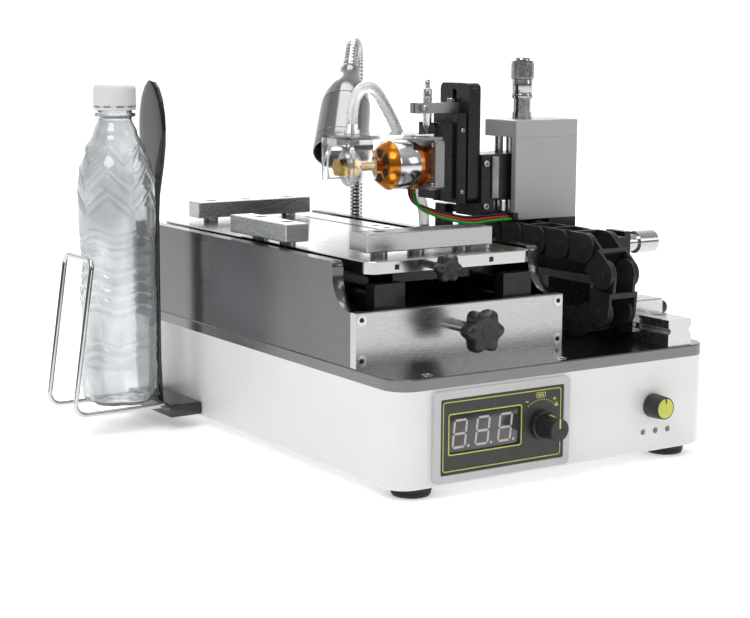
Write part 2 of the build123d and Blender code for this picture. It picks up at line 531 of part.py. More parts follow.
# ---- Z head, spindle and guard -----------------------------------------------------------------
def make_head():
    slide = box(132.0, 170.0, 113.0, 135.0, 122.6, 148.5)
    slide += box(132.0, 141.0, 113.0, 137.0, 113.8, 148.5)
    for y in Z_ROD_YS:
        slide -= rod_z(120, 150, Z_ROD_X, y, Z_ROD_R + FIT)
    save("z_slide", slide)

    plate = slab_yz(124.0, 132.0, 115.0, 142.0, 121.0, 187.7, 3.5)
    slot = slab_yz(123.0, 133.0, 126.6, 130.4, 176.0, 184.5, 1.85)

    block = box(117.5, 124.0, 116.0, 140.0, 122.0, 171.3)
    block = chamfer(block.edges().filter_by(Axis.Z), 0.8)
    save("z_plate", plate - slot, block, box(108.7, 117.5, 119.0, 141.0, 124.0, 166.0))

    arm = box(96.5, 124.0, 124.0, 132.0, 171.3, 177.0)
    arm -= rod_z(170, 178, PIN_X, PIN_Y, PIN_R + FIT)
    arm -= box(95, PIN_X, PIN_Y - 0.6, PIN_Y + 0.6, 171, 178)
    arm += rod_y(121.8, 127.3, 99.6, 174.1, 1.6)
    save("pin_arm", arm)

    pin = rod_z(164.5, 184.5, PIN_X, PIN_Y, PIN_R)
    pin += cone_z(160.3, 164.5, PIN_X, PIN_Y, 0.25, PIN_R)
    pin += rod_z(184.4, 189.5, PIN_X, PIN_Y, 1.2)
    save("pointer_pin", pin)

    mount = slab_yz(102.7, 108.7, 116.0, 144.0, 129.6, 157.2, 2.0)
    mount += box(95.0, 108.7, 118.0, 142.0, 157.1, 158.6)
    mount -= rod_x(102, 106, SPIN_Y, SPIN_Z, 3.2)
    save("motor_mount", mount)

    stator = rod_x(94.4, 97.0, SPIN_Y, SPIN_Z, 12.4)
    stator += cone_x(97.0, 102.7, SPIN_Y, SPIN_Z, 12.4, 9.0)
    stator += rod_x(82.0, 94.5, SPIN_Y, SPIN_Z, 11.0)
    stator += box(97.4, 101.2, 129.5, 138.7, 129.6, 135.0)
    stator -= rod_x(81, 103, SPIN_Y, SPIN_Z, 1.6 + FIT)
    for k in range(12):
        a = math.radians(30 * k)
        y, z = SPIN_Y + 10.6 * math.cos(a), SPIN_Z + 10.6 * math.sin(a)
        stator -= rod_x(81, 94.3, y, z, 1.3)
    save("motor_stator", stator)

    arch = rod_x(50.0, 64.0, SPIN_Y, SPIN_Z, 14.6) + box(50.0, 64.0, 119.0, 141.0, SPIN_Z, 158.6)
    arch -= rod_x(49, 65, SPIN_Y, SPIN_Z, 11.9)
    arch -= box(49, 65, 112, 148, 120, 136.4)
    sheet = box(47.4, 101.0, 115.4, 144.6, 158.6, 160.6)
    sheet += box(47.4, 49.9, 115.4, 144.6, 135.5, 158.7)
    sheet -= rod_x(47, 51, SPIN_Y, SPIN_Z, 11.9)
    sheet -= box(47, 51, SPIN_Y - 11.9, SPIN_Y + 11.9, 130, SPIN_Z)
    save("splash_guard", sheet, arch)

    fitting = rod_z(160.6, 163.4, HOSE_X, SPIN_Y, 4.2) + rod_z(163.3, HOSE_Z, HOSE_X, SPIN_Y, 3.3)
    fitting += rod_z(HOSE_Z - 0.1, HOSE_Z + 2.5, HOSE_X, SPIN_Y, 1.6)
    save("hose_fitting", fitting)


def make_rotor():
    bell = cone_x(75.5, 80.5, SPIN_Y, SPIN_Z, 9.5, CAN_R)
    bell -= rod_x(78.7, 81, SPIN_Y, SPIN_Z, 11.4)
    bell -= rod_x(75, 82, SPIN_Y, SPIN_Z, 1.61)
    for k in range(6):
        a = math.radians(60 * k)
        bell -= rod_x(74, 82, SPIN_Y + 5.9 * math.cos(a), SPIN_Z + 5.9 * math.sin(a), 1.7)
    save("motor_bell", bell)
    can = rod_x(80.5, 94.0, SPIN_Y, SPIN_Z, CAN_R) - rod_x(80, 95, SPIN_Y, SPIN_Z, 11.9)
    save("motor_can", can)
    shaft = rod_x(49.2, 101.8, SPIN_Y, SPIN_Z, 1.6)
    hub = rod_x(58.4, 75.3, SPIN_Y, SPIN_Z, 2.7) + rod_x(56.2, 58.5, SPIN_Y, SPIN_Z, 5.0)
    save("spindle", shaft, hub - rod_x(56, 76, SPIN_Y, SPIN_Z, 1.61))
    disc = rod_x(55.0, 56.2, SPIN_Y, SPIN_Z, DISC_R) - rod_x(54, 57, SPIN_Y, SPIN_Z, 1.61)
    save("cutting_disc", disc)
    nut = Plane.YZ * Pos(SPIN_Y, SPIN_Z, 48.0) * extrude(RegularPolygon(5.2, 6), 7.0)
    save("disc_nut", nut - rod_x(49, 56, SPIN_Y, SPIN_Z, 1.61))


# ---- hose and motor leads ----------------------------------------------------------------------
HOSE_X, HOSE_Z = 57.5, 166.5
HOSE_END_X, HOSE_END_Y, HOSE_END_Z = 135.8, 173.5, 98.0
HOSE_R, LEAD_R = 3.1, 0.9
HOSE_ROUTE = [
    (57.5, 130.0, 166.5),
    (57.5, 130.0, 172.0),
    (60.1, 131.5, 179.6),
    (65.7, 134.6, 184.6),
    (72.9, 138.5, 186.2),
    (80.1, 142.5, 184.2),
    (86.5, 146.1, 179.4),
    (95.1, 150.9, 171.0),
    (105.6, 156.7, 159.0),
    (115.6, 162.3, 146.0),
    (125.2, 167.6, 131.5),
    (132.2, 171.5, 118.5),
    (135.8, 173.5, 108.5),
    (135.8, 173.5, 98.0),
]


def lead_route(k):
    """A motor lead: out of the stator's underside, under the mount, to the carrier's grommet."""
    s = k - 1
    drop = 1.5 * s
    return [
        (99.2, 134.0 + 2.4 * s, 129.6),
        (99.2, 133.5 + 2.4 * s, 121.8 + 0.4 * drop),
        (105.0, 126.0 + 2.2 * s, 117.3 + drop),
        (114.0, 117.0 + 2.0 * s, 114.3 + drop),
        (123.0, 110.8 + 2.1 * s, 112.2 + drop),
        (134.0, 107.6 + 2.1 * s, 113.8 + 0.8 * drop),
        (147.5, 107.6 + 2.1 * s, 113.8 + 0.8 * drop),
    ]


def make_cords():
    hose, path = tube(HOSE_ROUTE, HOSE_R)
    inner_a = rod_z(HOSE_Z - 1, HOSE_Z + 3.0, HOSE_X, SPIN_Y, 1.62)
    inner_b = rod_z(HOSE_END_Z - 1, HOSE_END_Z + 6.5, HOSE_END_X, HOSE_END_Y, 1.62)
    print("hose length", round(path.length, 1), "radii", [round(r, 1) for r in fitted_radii(HOSE_ROUTE)])
    print("hose volume ratio", round(hose.volume / (math.pi * HOSE_R ** 2 * path.length), 4))
    save("water_hose", hose - inner_a - inner_b)
    leads = []
    for k in range(3):
        lead, path = tube(lead_route(k), LEAD_R)
        leads.append(lead)
        print("lead", k, "length", round(path.length, 1), [round(r, 1) for r in fitted_radii(lead_route(k))])
    save("motor_leads", *leads)


# ---- lamp --------------------------------------------------------------------------------------
ARCH_DIR = (-0.6466, -0.7628)            # the gooseneck leans over towards the disc
ARCH_TURN = 139.6                        # degrees that it bends before its straight end
NECK_END = 13.0
BALL_R = 4.6
HEAD_DIR = (-0.4189, -0.4942, -0.7615)   # out of the shade's opening


def neck_point(turn):
    """A point on the gooseneck's arc after that many degrees."""
    a = math.radians(turn)
    out, up = ARCH_R * (1 - math.cos(a)), ARCH_R * math.sin(a)
    return Vector(LAMP_X + out * ARCH_DIR[0], LAMP_Y + out * ARCH_DIR[1], ARCH_Z + up)


def make_lamp():
    base = rod_z(DECK, DECK + 5, LAMP_X, LAMP_Y, 13.0)
    base = chamfer(base.edges().group_by(Axis.Z)[-1], 1.0)
    base += rod_z(DECK + 4.9, DECK + 14, LAMP_X, LAMP_Y, 6.2)
    base -= rod_z(DECK + 4, DECK + 15, LAMP_X, LAMP_Y, NECK_R + 0.01)

    bend_end = neck_point(ARCH_TURN)
    ball = bend_end + Vector(*HEAD_DIR) * NECK_END
    print("lamp ball", [round(v, 3) for v in ball])
    rise = Line((LAMP_X, LAMP_Y, DECK + 4), (LAMP_X, LAMP_Y, ARCH_Z))
    arch = ThreePointArc((LAMP_X, LAMP_Y, ARCH_Z), neck_point(ARCH_TURN / 2), bend_end)
    profile = Pos(LAMP_X, LAMP_Y, DECK + 4) * Circle(NECK_R)
    neck = sweep(profile, path=Wire([rise, arch, Line(bend_end, ball)]))
    neck += Pos(*ball) * Sphere(BALL_R)
    save("lamp_stand", base, neck)

    outer = [(5.9, 0.8), (5.9, 4.0), (7.4, 9.0), (11.4, 17.5)]
    outer += [(14.9, 29.5), (15.6, 42.0), (16.2, 58.0), (16.6, 65.8)]
    inner = [(15.4, 65.8), (14.7, 44.0), (13.6, 30.0), (10.1, 18.5), (6.3, 11.5), (0.0, 9.5)]
    profile = make_face(Polyline(*[(r, 0, -d) for r, d in [(0.0, 0.8)] + outer + inner], close=True))
    shade = revolve(profile, Axis.Z)
    shade -= Sphere(BALL_R + 0.3)
    place = Plane(origin=ball, x_dir=(-ARCH_DIR[1], ARCH_DIR[0], 0), z_dir=[-v for v in HEAD_DIR])
    save("lamp_shade", place * shade)
    lens = Pos(0, 0, -48) * Cylinder(14.75, 2.4)
    lens += Pos(0, 0, -42) * Cylinder(6.0, 11.0)
    save("lamp_lens", place * lens)


# ---- bottle and cage ---------------------------------------------------------------------------
def make_bottle():
    x0, x1 = -14.5, -11.5
    paddle = Plane.YZ * Pos(228.0, 159.0, x0) * extrude(Ellipse(16.5, 29.0), x1 - x0)
    stem_points = [(219.0, 150.0), (222.5, 110.0), (222.5, 8.0), (234.0, 8.0), (234.0, 110.0), (237.0, 150.0)]
    stem = Plane.YZ * Pos(0, 0, x0) * extrude(make_face(Polyline(*stem_points, close=True)), x1 - x0)
    foot = slab(-20.0, 0.0, 196.0, 252.0, 1.5, 8.9, 3.0)
    foot += box(-3.5, 0.0, 196.0, 252.0, 1.5, 8.9)
    save("cage_back", paddle + stem + foot)

    y0, y1 = 204.0, 240.0
    low, high = 7.5, 92.0
    ends = [(-20.0, y0, low), (-74.0, y0, low), (-61.6, y0, high)]
    ends += [(-61.6, y1, high), (-74.0, y1, low), (-20.0, y1, low)]
    wire, path = tube(ends, 1.4, [6.0, 5.0, 5.0, 6.0])
    save("cage_wire", wire)

    z = BOTTLE_Z
    outer = [(0, 0), (17.5, 0), (20.6, 2.5), (BOTTLE_R, 10), (BOTTLE_R, 62), (20.0, 74), (20.0, 84)]
    outer += [(BOTTLE_R, 96), (BOTTLE_R, 122), (19.0, 134), (13.0, 150), (9.5, 158), (9.5, 171.5)]
    inner = [(8.5, 171.5), (8.5, 158), (12.0, 149.5), (18.0, 133.5), (20.6, 121.5), (20.6, 96)]
    inner += [(19.1, 84), (19.1, 74), (20.6, 62), (20.6, 10), (19.6, 3.2), (17.0, 1.0), (0, 1.0)]
    profile = make_face(Polyline(*[(r, 0, h) for r, h in outer + inner], close=True))
    bottle = revolve(profile, Axis.Z)
    bottle += Pos(0, 0, 160.5) * Cylinder(11.2, 1.6) - Pos(0, 0, 160.5) * Cylinder(9.0, 4)
    save("bottle", Pos(BOTTLE_X, BOTTLE_Y, z) * bottle)
    cap = Pos(0, 0, 170.0) * Cylinder(11.6, 14.0) - Pos(0, 0, 167.0) * Cylinder(9.5 + FIT, 10.0)
    save("bottle_cap", Pos(BOTTLE_X, BOTTLE_Y, z) * cap)


make_base()
make_panel()
make_trough()
make_table()
make_clamps()
make_table_knobs()
make_rail()
make_saddle()
make_chain()
make_x_stage()
make_head()
make_rotor()
make_cords()
make_lamp()
make_bottle()
export_all()
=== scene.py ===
import math
import bmesh
import bpy
from mathutils import Matrix, Vector


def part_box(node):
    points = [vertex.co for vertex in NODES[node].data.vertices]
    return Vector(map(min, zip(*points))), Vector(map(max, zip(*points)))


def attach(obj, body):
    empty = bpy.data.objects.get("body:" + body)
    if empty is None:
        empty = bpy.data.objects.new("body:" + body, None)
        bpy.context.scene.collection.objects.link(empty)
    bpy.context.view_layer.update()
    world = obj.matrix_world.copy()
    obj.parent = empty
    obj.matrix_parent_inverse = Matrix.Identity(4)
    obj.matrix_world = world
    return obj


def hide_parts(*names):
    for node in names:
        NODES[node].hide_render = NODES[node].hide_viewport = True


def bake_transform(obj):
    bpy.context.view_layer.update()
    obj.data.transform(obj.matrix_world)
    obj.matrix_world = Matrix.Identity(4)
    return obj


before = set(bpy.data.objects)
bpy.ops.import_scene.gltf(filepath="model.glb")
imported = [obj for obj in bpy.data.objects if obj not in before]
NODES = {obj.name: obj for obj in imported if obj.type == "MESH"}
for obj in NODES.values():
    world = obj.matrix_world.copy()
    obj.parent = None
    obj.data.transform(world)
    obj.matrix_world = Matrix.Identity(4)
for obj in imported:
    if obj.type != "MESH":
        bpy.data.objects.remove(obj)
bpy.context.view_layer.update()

# Stations are millimetres from the base's front left bottom corner: x right, y rear, z up.
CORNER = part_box("base_shell")[0]
MM = 0.001


def at(x, y, z):
    """A station as a point of the row frame, in metres."""
    return Vector((CORNER.x + x * MM, CORNER.y + y * MM, CORNER.z + z * MM))


# ---- camera ------------------------------------------------------------------------------------
CAMERA_STATION = (-434.14, -642.78, 212.03)
CAMERA_AZIMUTH, CAMERA_ELEVATION, CAMERA_ROLL = (math.radians(a) for a in (-33.27, 9.06, 0.31))
CAMERA_LENS, SENSOR_WIDTH = 81.64, 36.0


def make_camera():
    azimuth, elevation, roll = CAMERA_AZIMUTH, CAMERA_ELEVATION, CAMERA_ROLL
    back = Vector((math.sin(azimuth) * math.cos(elevation), -math.cos(azimuth) * math.cos(elevation),
                   math.sin(elevation)))
    forward = -back
    right = forward.cross(Vector((0, 0, 1))).normalized()
    up = right.cross(forward)
    right, up = (right * math.cos(roll) + up * math.sin(roll), up * math.cos(roll) - right * math.sin(roll))
    data = bpy.data.cameras.new("photo_camera")
    data.lens, data.sensor_width, data.sensor_fit = CAMERA_LENS, SENSOR_WIDTH, "HORIZONTAL"
    data.clip_start, data.clip_end = 0.01, 50.0
    cam = bpy.data.objects.new("photo_camera", data)
    bpy.context.scene.collection.objects.link(cam)
    cam.matrix_world = Matrix.Translation(at(*CAMERA_STATION)) @ Matrix(
        ((right.x, up.x, back.x, 0), (right.y, up.y, back.y, 0), (right.z, up.z, back.z, 0), (0, 0, 0, 1)))
    bpy.context.scene.camera = cam


make_camera()


# ---- materials ---------------------------------------------------------------------------------
def shade(color, factor):
    return tuple(min(1.0, max(0.0, c * factor)) for c in color[:3]) + (1.0,)


def material(name, color, metallic=0.0, rough=0.5, vary=0.06, scale=60.0, stretch=(1, 1, 1),
             rough_vary=0.06, bump=0.05, bump_scale=900.0, bump_stretch=None, depth=0.00005,
             coat=0.0, transmission=0.0, ior=1.45, specular=0.5, sheen=0.0):
    """A principled surface whose colour, roughness and relief all come from noise."""
    mat = bpy.data.materials.new(name)
    mat.use_nodes = True
    tree = mat.node_tree
    link = tree.links.new
    surface = tree.nodes["Principled BSDF"]
    place = tree.nodes.new("ShaderNodeTexCoord")

    def noise(scale_value, stretch_value, detail=4.0):
        mapping = tree.nodes.new("ShaderNodeMapping")
        mapping.inputs["Scale"].default_value = stretch_value
        link(place.outputs["Object"], mapping.inputs["Vector"])
        node = tree.nodes.new("ShaderNodeTexNoise")
        node.inputs["Scale"].default_value = scale_value
        node.inputs["Detail"].default_value = detail
        link(mapping.outputs["Vector"], node.inputs["Vector"])
        return node.outputs["Fac"]

    ramp = tree.nodes.new("ShaderNodeValToRGB")
    ramp.color_ramp.elements[0].position, ramp.color_ramp.elements[1].position = 0.3, 0.7
    ramp.color_ramp.elements[0].color = shade(color, 1 - vary)
    ramp.color_ramp.elements[1].color = shade(color, 1 + vary)
    link(noise(scale, stretch), ramp.inputs["Fac"])
    link(ramp.outputs["Color"], surface.inputs["Base Color"])

    spread = tree.nodes.new("ShaderNodeMapRange")
    spread.inputs["From Min"].default_value, spread.inputs["From Max"].default_value = 0.3, 0.7
    spread.inputs["To Min"].default_value = max(0.01, rough - rough_vary)
    spread.inputs["To Max"].default_value = min(1.0, rough + rough_vary)
    link(noise(scale * 1.7, stretch), spread.inputs["Value"])
    link(spread.outputs["Result"], surface.inputs["Roughness"])

    if bump > 0:
        relief = tree.nodes.new("ShaderNodeBump")
        relief.inputs["Strength"].default_value = bump
        relief.inputs["Distance"].default_value = depth
        link(noise(bump_scale, bump_stretch or stretch, 3.0), relief.inputs["Height"])
        link(relief.outputs["Normal"], surface.inputs["Normal"])

    surface.inputs["Metallic"].default_value = metallic
    surface.inputs["Coat Weight"].default_value = coat
    surface.inputs["Coat Roughness"].default_value = 0.08
    surface.inputs["Transmission Weight"].default_value = transmission
    surface.inputs["IOR"].default_value = ior
    surface.inputs["Specular IOR Level"].default_value = specular
    surface.inputs["Sheen Weight"].default_value = sheen
    return mat


ALONG_X, ALONG_Y = (0.04, 1, 1), (1, 0.04, 1)


def brushed(name, color, grain, rough=0.3, vary=0.04, bump=0.12):
    """Brushed metal: fine streaks along one axis."""
    return material(name, color, 1.0, rough, vary, 2200.0, grain, 0.04, bump, 3500.0, grain, 0.00002)


WHITE = material("white_enamel", (0.80, 0.80, 0.795), 0.0, 0.32, 0.015, 25, rough_vary=0.03,
                 bump=0.06, bump_scale=1300, coat=0.25)
RUBBER = material("black_rubber", (0.018, 0.018, 0.018), 0.0, 0.55, 0.3, 300, bump=0.25)
DECK_METAL = brushed("deck_metal", (0.19, 0.19, 0.195), ALONG_X, 0.20, 0.05, 0.10)
DARK_METAL = brushed("dark_side_metal", (0.15, 0.15, 0.155), ALONG_Y, 0.20, 0.06, 0.10)
PLATE_METAL = brushed("plate_metal", (0.52, 0.52, 0.52), ALONG_X, 0.27)
TABLE_METAL = brushed("table_metal", (0.58, 0.58, 0.575), ALONG_Y, 0.20, 0.04, 0.15)
CLAMP_METAL = brushed("clamp_metal", (0.50, 0.50, 0.50), ALONG_X, 0.27)
CLAMP_METAL_Y = brushed("clamp_metal_y", (0.50, 0.50, 0.50), ALONG_Y, 0.27)
RAIL_METAL = brushed("rail_metal", (0.60, 0.60, 0.60), ALONG_Y, 0.26)
STEEL = material("ground_steel", (0.62, 0.62, 0.63), 1.0, 0.22, 0.06, 500, bump=0.08)
SCREW_STEEL = material("screw_steel", (0.42, 0.42, 0.43), 1.0, 0.28, 0.12, 400, bump=0.12)
BLACK_METAL = material("black_anodised", (0.014, 0.014, 0.015), 0.4, 0.30, 0.25, 180, rough_vary=0.05,
                       bump=0.05, bump_scale=2200, coat=0.15)
GREY_METAL = material("grey_anodised", (0.33, 0.33, 0.335), 0.85, 0.36, 0.05, 150, bump=0.05,
                      bump_scale=2500)
TOWER_METAL = material("tower_anodised", (0.44, 0.44, 0.44), 0.45, 0.42, 0.02, 120, bump=0.05,
                       bump_scale=3000)
CHROME = material("satin_chrome", (0.52, 0.52, 0.52), 1.0, 0.16, 0.03, 300, bump=0.03)
POLISHED = material("polished_chrome", (0.62, 0.62, 0.62), 1.0, 0.07, 0.02, 200, rough_vary=0.03, bump=0.01)
SHADE_METAL = material("shade_metal", (0.24, 0.24, 0.24), 1.0, 0.17, 0.05, 90, (1, 1, 0.2), 0.04, 0.03)
CHAIN_BLACK = material("chain_plastic", (0.016, 0.016, 0.017), 0.0, 0.42, 0.3, 200, bump=0.15,
                       bump_scale=1800)
KNOB_BLACK = material("knob_plastic", (0.014, 0.014, 0.014), 0.0, 0.33, 0.3, 220, bump=0.12,
                      bump_scale=2000, coat=0.1)
BOARD = material("board_plastic", (0.03, 0.03, 0.03), 0.0, 0.6, 0.3, 300)
BEZEL = material("bezel_plastic", (0.55, 0.55, 0.56), 0.1, 0.42, 0.03, 150, bump=0.08, bump_scale=2500)
PANEL = material("panel_print", (0.045, 0.045, 0.045), 0.0, 0.5, 0.08, 200, bump=0.08, bump_scale=2500)
WINDOW = material("display_window", (0.055, 0.05, 0.052), 0.0, 0.16, 0.25, 60, bump=0.0, coat=0.6)
SEGMENT = material("display_segment", (0.50, 0.48, 0.46), 0.0, 0.35, 0.08, 600, bump=0.02)
LIME = material("lime_print", (0.60, 0.62, 0.10), 0.0, 0.45, 0.08, 700, bump=0.05)
ORANGE = material("orange_anodised", (0.58, 0.20, 0.02), 0.95, 0.22, 0.18, 140, bump=0.04)
COPPER = material("copper_winding", (0.60, 0.20, 0.04), 0.9, 0.30, 0.25, 500, bump=0.2)
CAN = brushed("can_steel", (0.66, 0.68, 0.70), ALONG_X, 0.16, 0.03, 0.06)
BRASS = material("turned_brass", (0.70, 0.48, 0.16), 1.0, 0.24, 0.12, 300, (1, 1, 1), bump=0.10)
RED = material("red_anodised", (0.62, 0.02, 0.01), 0.5, 0.3, 0.15, 300)
DISC = material("ground_disc", (0.62, 0.62, 0.64), 1.0, 0.24, 0.05, 400, bump=0.1)
ACRYLIC = material("clear_acrylic", (0.97, 0.98, 0.98), 0.0, 0.07, 0.01, 40, rough_vary=0.04, bump=0.02,
                   bump_scale=500, transmission=0.93, ior=1.47)
HOSE = material("clear_hose", (0.90, 0.90, 0.90), 0.0, 0.26, 0.03, 90, rough_vary=0.08, bump=0.05,
                transmission=0.55, ior=1.40)
GREEN_WIRE = material("green_silicone", (0.01, 0.28, 0.02), 0.0, 0.38, 0.12, 250)
RED_WIRE = material("red_silicone", (0.42, 0.012, 0.01), 0.0, 0.38, 0.12, 250)
BLACK_WIRE = material("black_silicone", (0.012, 0.012, 0.012), 0.0, 0.38, 0.2, 250)
# Painted shade: the dark put into holes, recesses, openings and the lamp shade's inside; also the dark
# parting line of the fine slide.
PAINTED_SHADE_AND_SEAM = material("painted_shade_and_seam", (0.012, 0.012, 0.012), 0.0, 0.6, 0.3, 300)
LENS = material("frosted_lens", (0.85, 0.85, 0.80), 0.0, 0.35, 0.04, 200, transmission=0.4)
GLOSS_BLACK = material("gloss_black", (0.006, 0.006, 0.006), 0.0, 0.16, 0.3, 60, rough_vary=0.04,
                       bump=0.01, coat=0.6)
BOTTLE = material("clear_pet", (0.74, 0.76, 0.77), 0.0, 0.05, 0.26, 45, (1, 1, 0.45), rough_vary=0.03,
                  bump=0.25, bump_scale=110, depth=0.0006, transmission=0.93, ior=1.5)
CAP = material("white_cap", (0.72, 0.72, 0.72), 0.0, 0.40, 0.02, 120, bump=0.05)
SEAM = material("dark_seam", (0.05, 0.05, 0.05), 0.3, 0.4, 0.2, 300)

CAD_MATERIALS = {
    "base_shell": WHITE, "feet": RUBBER, "deck_plate": DECK_METAL, "cover_screws": STEEL,
    "panel_bezel": BEZEL, "panel_face": PANEL, "governor_module": BOARD, "governor_knob": KNOB_BLACK,
    "flow_knob": KNOB_BLACK, "power_inlet": BOARD, "trough_end_plates": PLATE_METAL,
    "trough_walls": DARK_METAL, "table_guides": BLACK_METAL, "table_plate": TABLE_METAL,
    "table_slide": BLACK_METAL, "rear_clamp_bar": CLAMP_METAL, "side_clamp_bar": CLAMP_METAL_Y,
    "front_clamp_bar": CLAMP_METAL, "fixed_bar_screws": SCREW_STEEL, "feed_knob": KNOB_BLACK,
    "feed_screw": STEEL, "lock_knob": KNOB_BLACK, "gantry_rail": RAIL_METAL, "rail_stop": RAIL_METAL,
    "saddle_carriages": BLACK_METAL, "gantry_saddle": GREY_METAL, "x_base": BLACK_METAL,
    "x_mic_sleeve": CHROME, "x_mic_thimble": CHROME, "z_mic_sleeve": CHROME, "z_mic_thimble": CHROME,
    "chain_bend": CHAIN_BLACK, "chain_run": CHAIN_BLACK, "chain_anchor": CHAIN_BLACK,
    "x_slide": BLACK_METAL, "tower_column": TOWER_METAL, "tower_cap": TOWER_METAL, "z_guide_rods": STEEL,
    "z_slide": BLACK_METAL, "z_plate": BLACK_METAL, "pin_arm": GREY_METAL, "pointer_pin": STEEL,
    "motor_mount": GREY_METAL, "motor_stator": COPPER, "splash_guard": ACRYLIC, "hose_fitting": ACRYLIC,
    "motor_bell": ORANGE, "motor_can": CAN, "spindle": BRASS, "cutting_disc": DISC, "disc_nut": BRASS,
    "water_hose": HOSE, "motor_leads": BLACK_WIRE, "lamp_stand": CHROME, "lamp_shade": SHADE_METAL,
    "lamp_lens": LENS, "cage_back": GLOSS_BLACK, "cage_wire": POLISHED, "bottle": BOTTLE,
    "bottle_cap": CAP,
}


def dress_cad():
    for name, node in NODES.items():
        for slot in node.material_slots:
            slot.material = CAD_MATERIALS[name]


dress_cad()


def soften(width_mm, *names, segments=2, angle=35):
    """Break the sharp edges of machined CAD pieces; the mesh itself isn't touched."""
    for name in names:
        node = NODES[name]
        weld = node.modifiers.new("weld", "WELD")
        weld.merge_threshold = 2e-6
        bevel = node.modifiers.new("edge_break", "BEVEL")
        bevel.width, bevel.segments = width_mm * MM, segments
        bevel.limit_method, bevel.angle_limit = "ANGLE", math.radians(angle)
        bevel.harden_normals = False


# ---- mesh helpers ------------------------------------------------------------------------------
def piece(name, bm, body, mat, smooth=True, sharp=35.0):
    """Turn a bmesh in stations into a piece that rides on a body."""
    for vert in bm.verts:
        vert.co = at(*vert.co)
    bmesh.ops.recalc_face_normals(bm, faces=bm.faces[:])
    for face in bm.faces:
        face.smooth = smooth
    if smooth:
        for edge in bm.edges:
            if len(edge.link_faces) == 2 and edge.calc_face_angle(0.0) > math.radians(sharp):
                edge.smooth = False
    mesh = bpy.data.meshes.new(name)
    bm.to_mesh(mesh)
    bm.free()
    mats = mat if isinstance(mat, (list, tuple)) else [mat]
    for m in mats:
        mesh.materials.append(m)
    obj = bpy.data.objects.new(name, mesh)
    bpy.context.scene.collection.objects.link(obj)
    if body:
        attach(obj, body)
    return obj


def axis_matrix(axis, origin):
    """Lathe space to stations: the lathe's own z runs along axis."""
    direction = Vector(axis).normalized()
    return Matrix.Translation(Vector(origin)) @ direction.to_track_quat("Z", "Y").to_matrix().to_4x4()


def lathe(bm, profile, axis, origin, steps=64, wave=None, closed=False, mat_index=0):
    """Revolve (radius, height) pairs. wave(angle, radius, height) may change the radius."""
    place = axis_matrix(axis, origin)
    rings = []
    for radius, height in profile:
        ring = []
        for k in range(steps):
            angle = 2 * math.pi * k / steps
            r = wave(angle, radius, height) if wave else radius
            ring.append(bm.verts.new(place @ Vector((r * math.cos(angle), r * math.sin(angle), height))))
        rings.append(ring)
    pairs = list(zip(rings, rings[1:]))
    if closed:
        pairs.append((rings[-1], rings[0]))
    for low, high in pairs:
        for k in range(steps):
            j = (k + 1) % steps
            face = bm.faces.new((low[k], low[j], high[j], high[k]))
            face.material_index = mat_index
    if not closed:
        for ring, flip in ((rings[0], True), (rings[-1], False)):
            face = bm.faces.new(ring[::-1] if flip else ring)
            face.material_index = mat_index
    return rings


def lathe_piece(name, profile, axis, origin, body, mat, steps=64, wave=None, closed=False, sharp=35.0):
    bm = bmesh.new()
    lathe(bm, profile, axis, origin, steps, wave, closed)
    return piece(name, bm, body, mat, sharp=sharp)


def ring_profile(radius, height, section, count=10):
    """A round section for a closed lathe: a torus seen from the side."""
    angles = [2 * math.pi * k / count for k in range(count)]
    return [(radius + section * math.cos(a), height + section * math.sin(a)) for a in angles]


def block(bm, x0, x1, y0, y1, z0, z1, r=0.3, segments=2):
    """A machined block with broken edges."""
    made = bmesh.ops.create_cube(bm, size=1.0)
    verts = made["verts"]
    centre = Vector(((x0 + x1) / 2, (y0 + y1) / 2, (z0 + z1) / 2))
    for vert in verts:
        vert.co = Vector((vert.co.x * (x1 - x0), vert.co.y * (y1 - y0), vert.co.z * (z1 - z0))) + centre
    if r > 0:
        edges = list({e for v in verts for e in v.link_edges})
        bmesh.ops.bevel(bm, geom=edges, offset=r, segments=segments, profile=0.5, affect="EDGES")


def prism(bm, outline, y0, y1):
    """Extrude an (x, z) outline from y0 to y1."""
    front = [bm.verts.new((x, y0, z)) for x, z in outline]
    back = [bm.verts.new((x, y1, z)) for x, z in outline]
    bm.faces.new(front)
    bm.faces.new(back[::-1])
    count = len(outline)
    for k in range(count):
        j = (k + 1) % count
        bm.faces.new((front[k], back[k], back[j], front[j]))


def rounded_rect(x0, x1, z0, z1, r, steps=6):
    points = []
    corners = ((x1 - r, z1 - r, 0), (x0 + r, z1 - r, 90), (x0 + r, z0 + r, 180), (x1 - r, z0 + r, 270))
    for cx, cz, start in corners:
        for k in range(steps + 1):
            a = math.radians(start + 90 * k / steps)
            points.append((cx + r * math.cos(a), cz + r * math.sin(a)))
    return points


def outline_strip(bm, x0, x1, z0, z1, r, width, y0, y1):
    """A thin printed frame on a panel."""
    outer = rounded_rect(x0, x1, z0, z1, r)
    inner = rounded_rect(x0 + width, x1 - width, z0 + width, z1 - width, max(0.1, r - width))
    loops = [[bm.verts.new((x, y, z)) for x, z in points] for y, points in
             ((y0, outer), (y0, inner), (y1, inner), (y1, outer))]
    count = len(outer)
    for a, b in zip(loops, loops[1:] + loops[:1]):
        for k in range(count):
            j = (k + 1) % count
            bm.faces.new((a[k], a[j], b[j], b[k]))


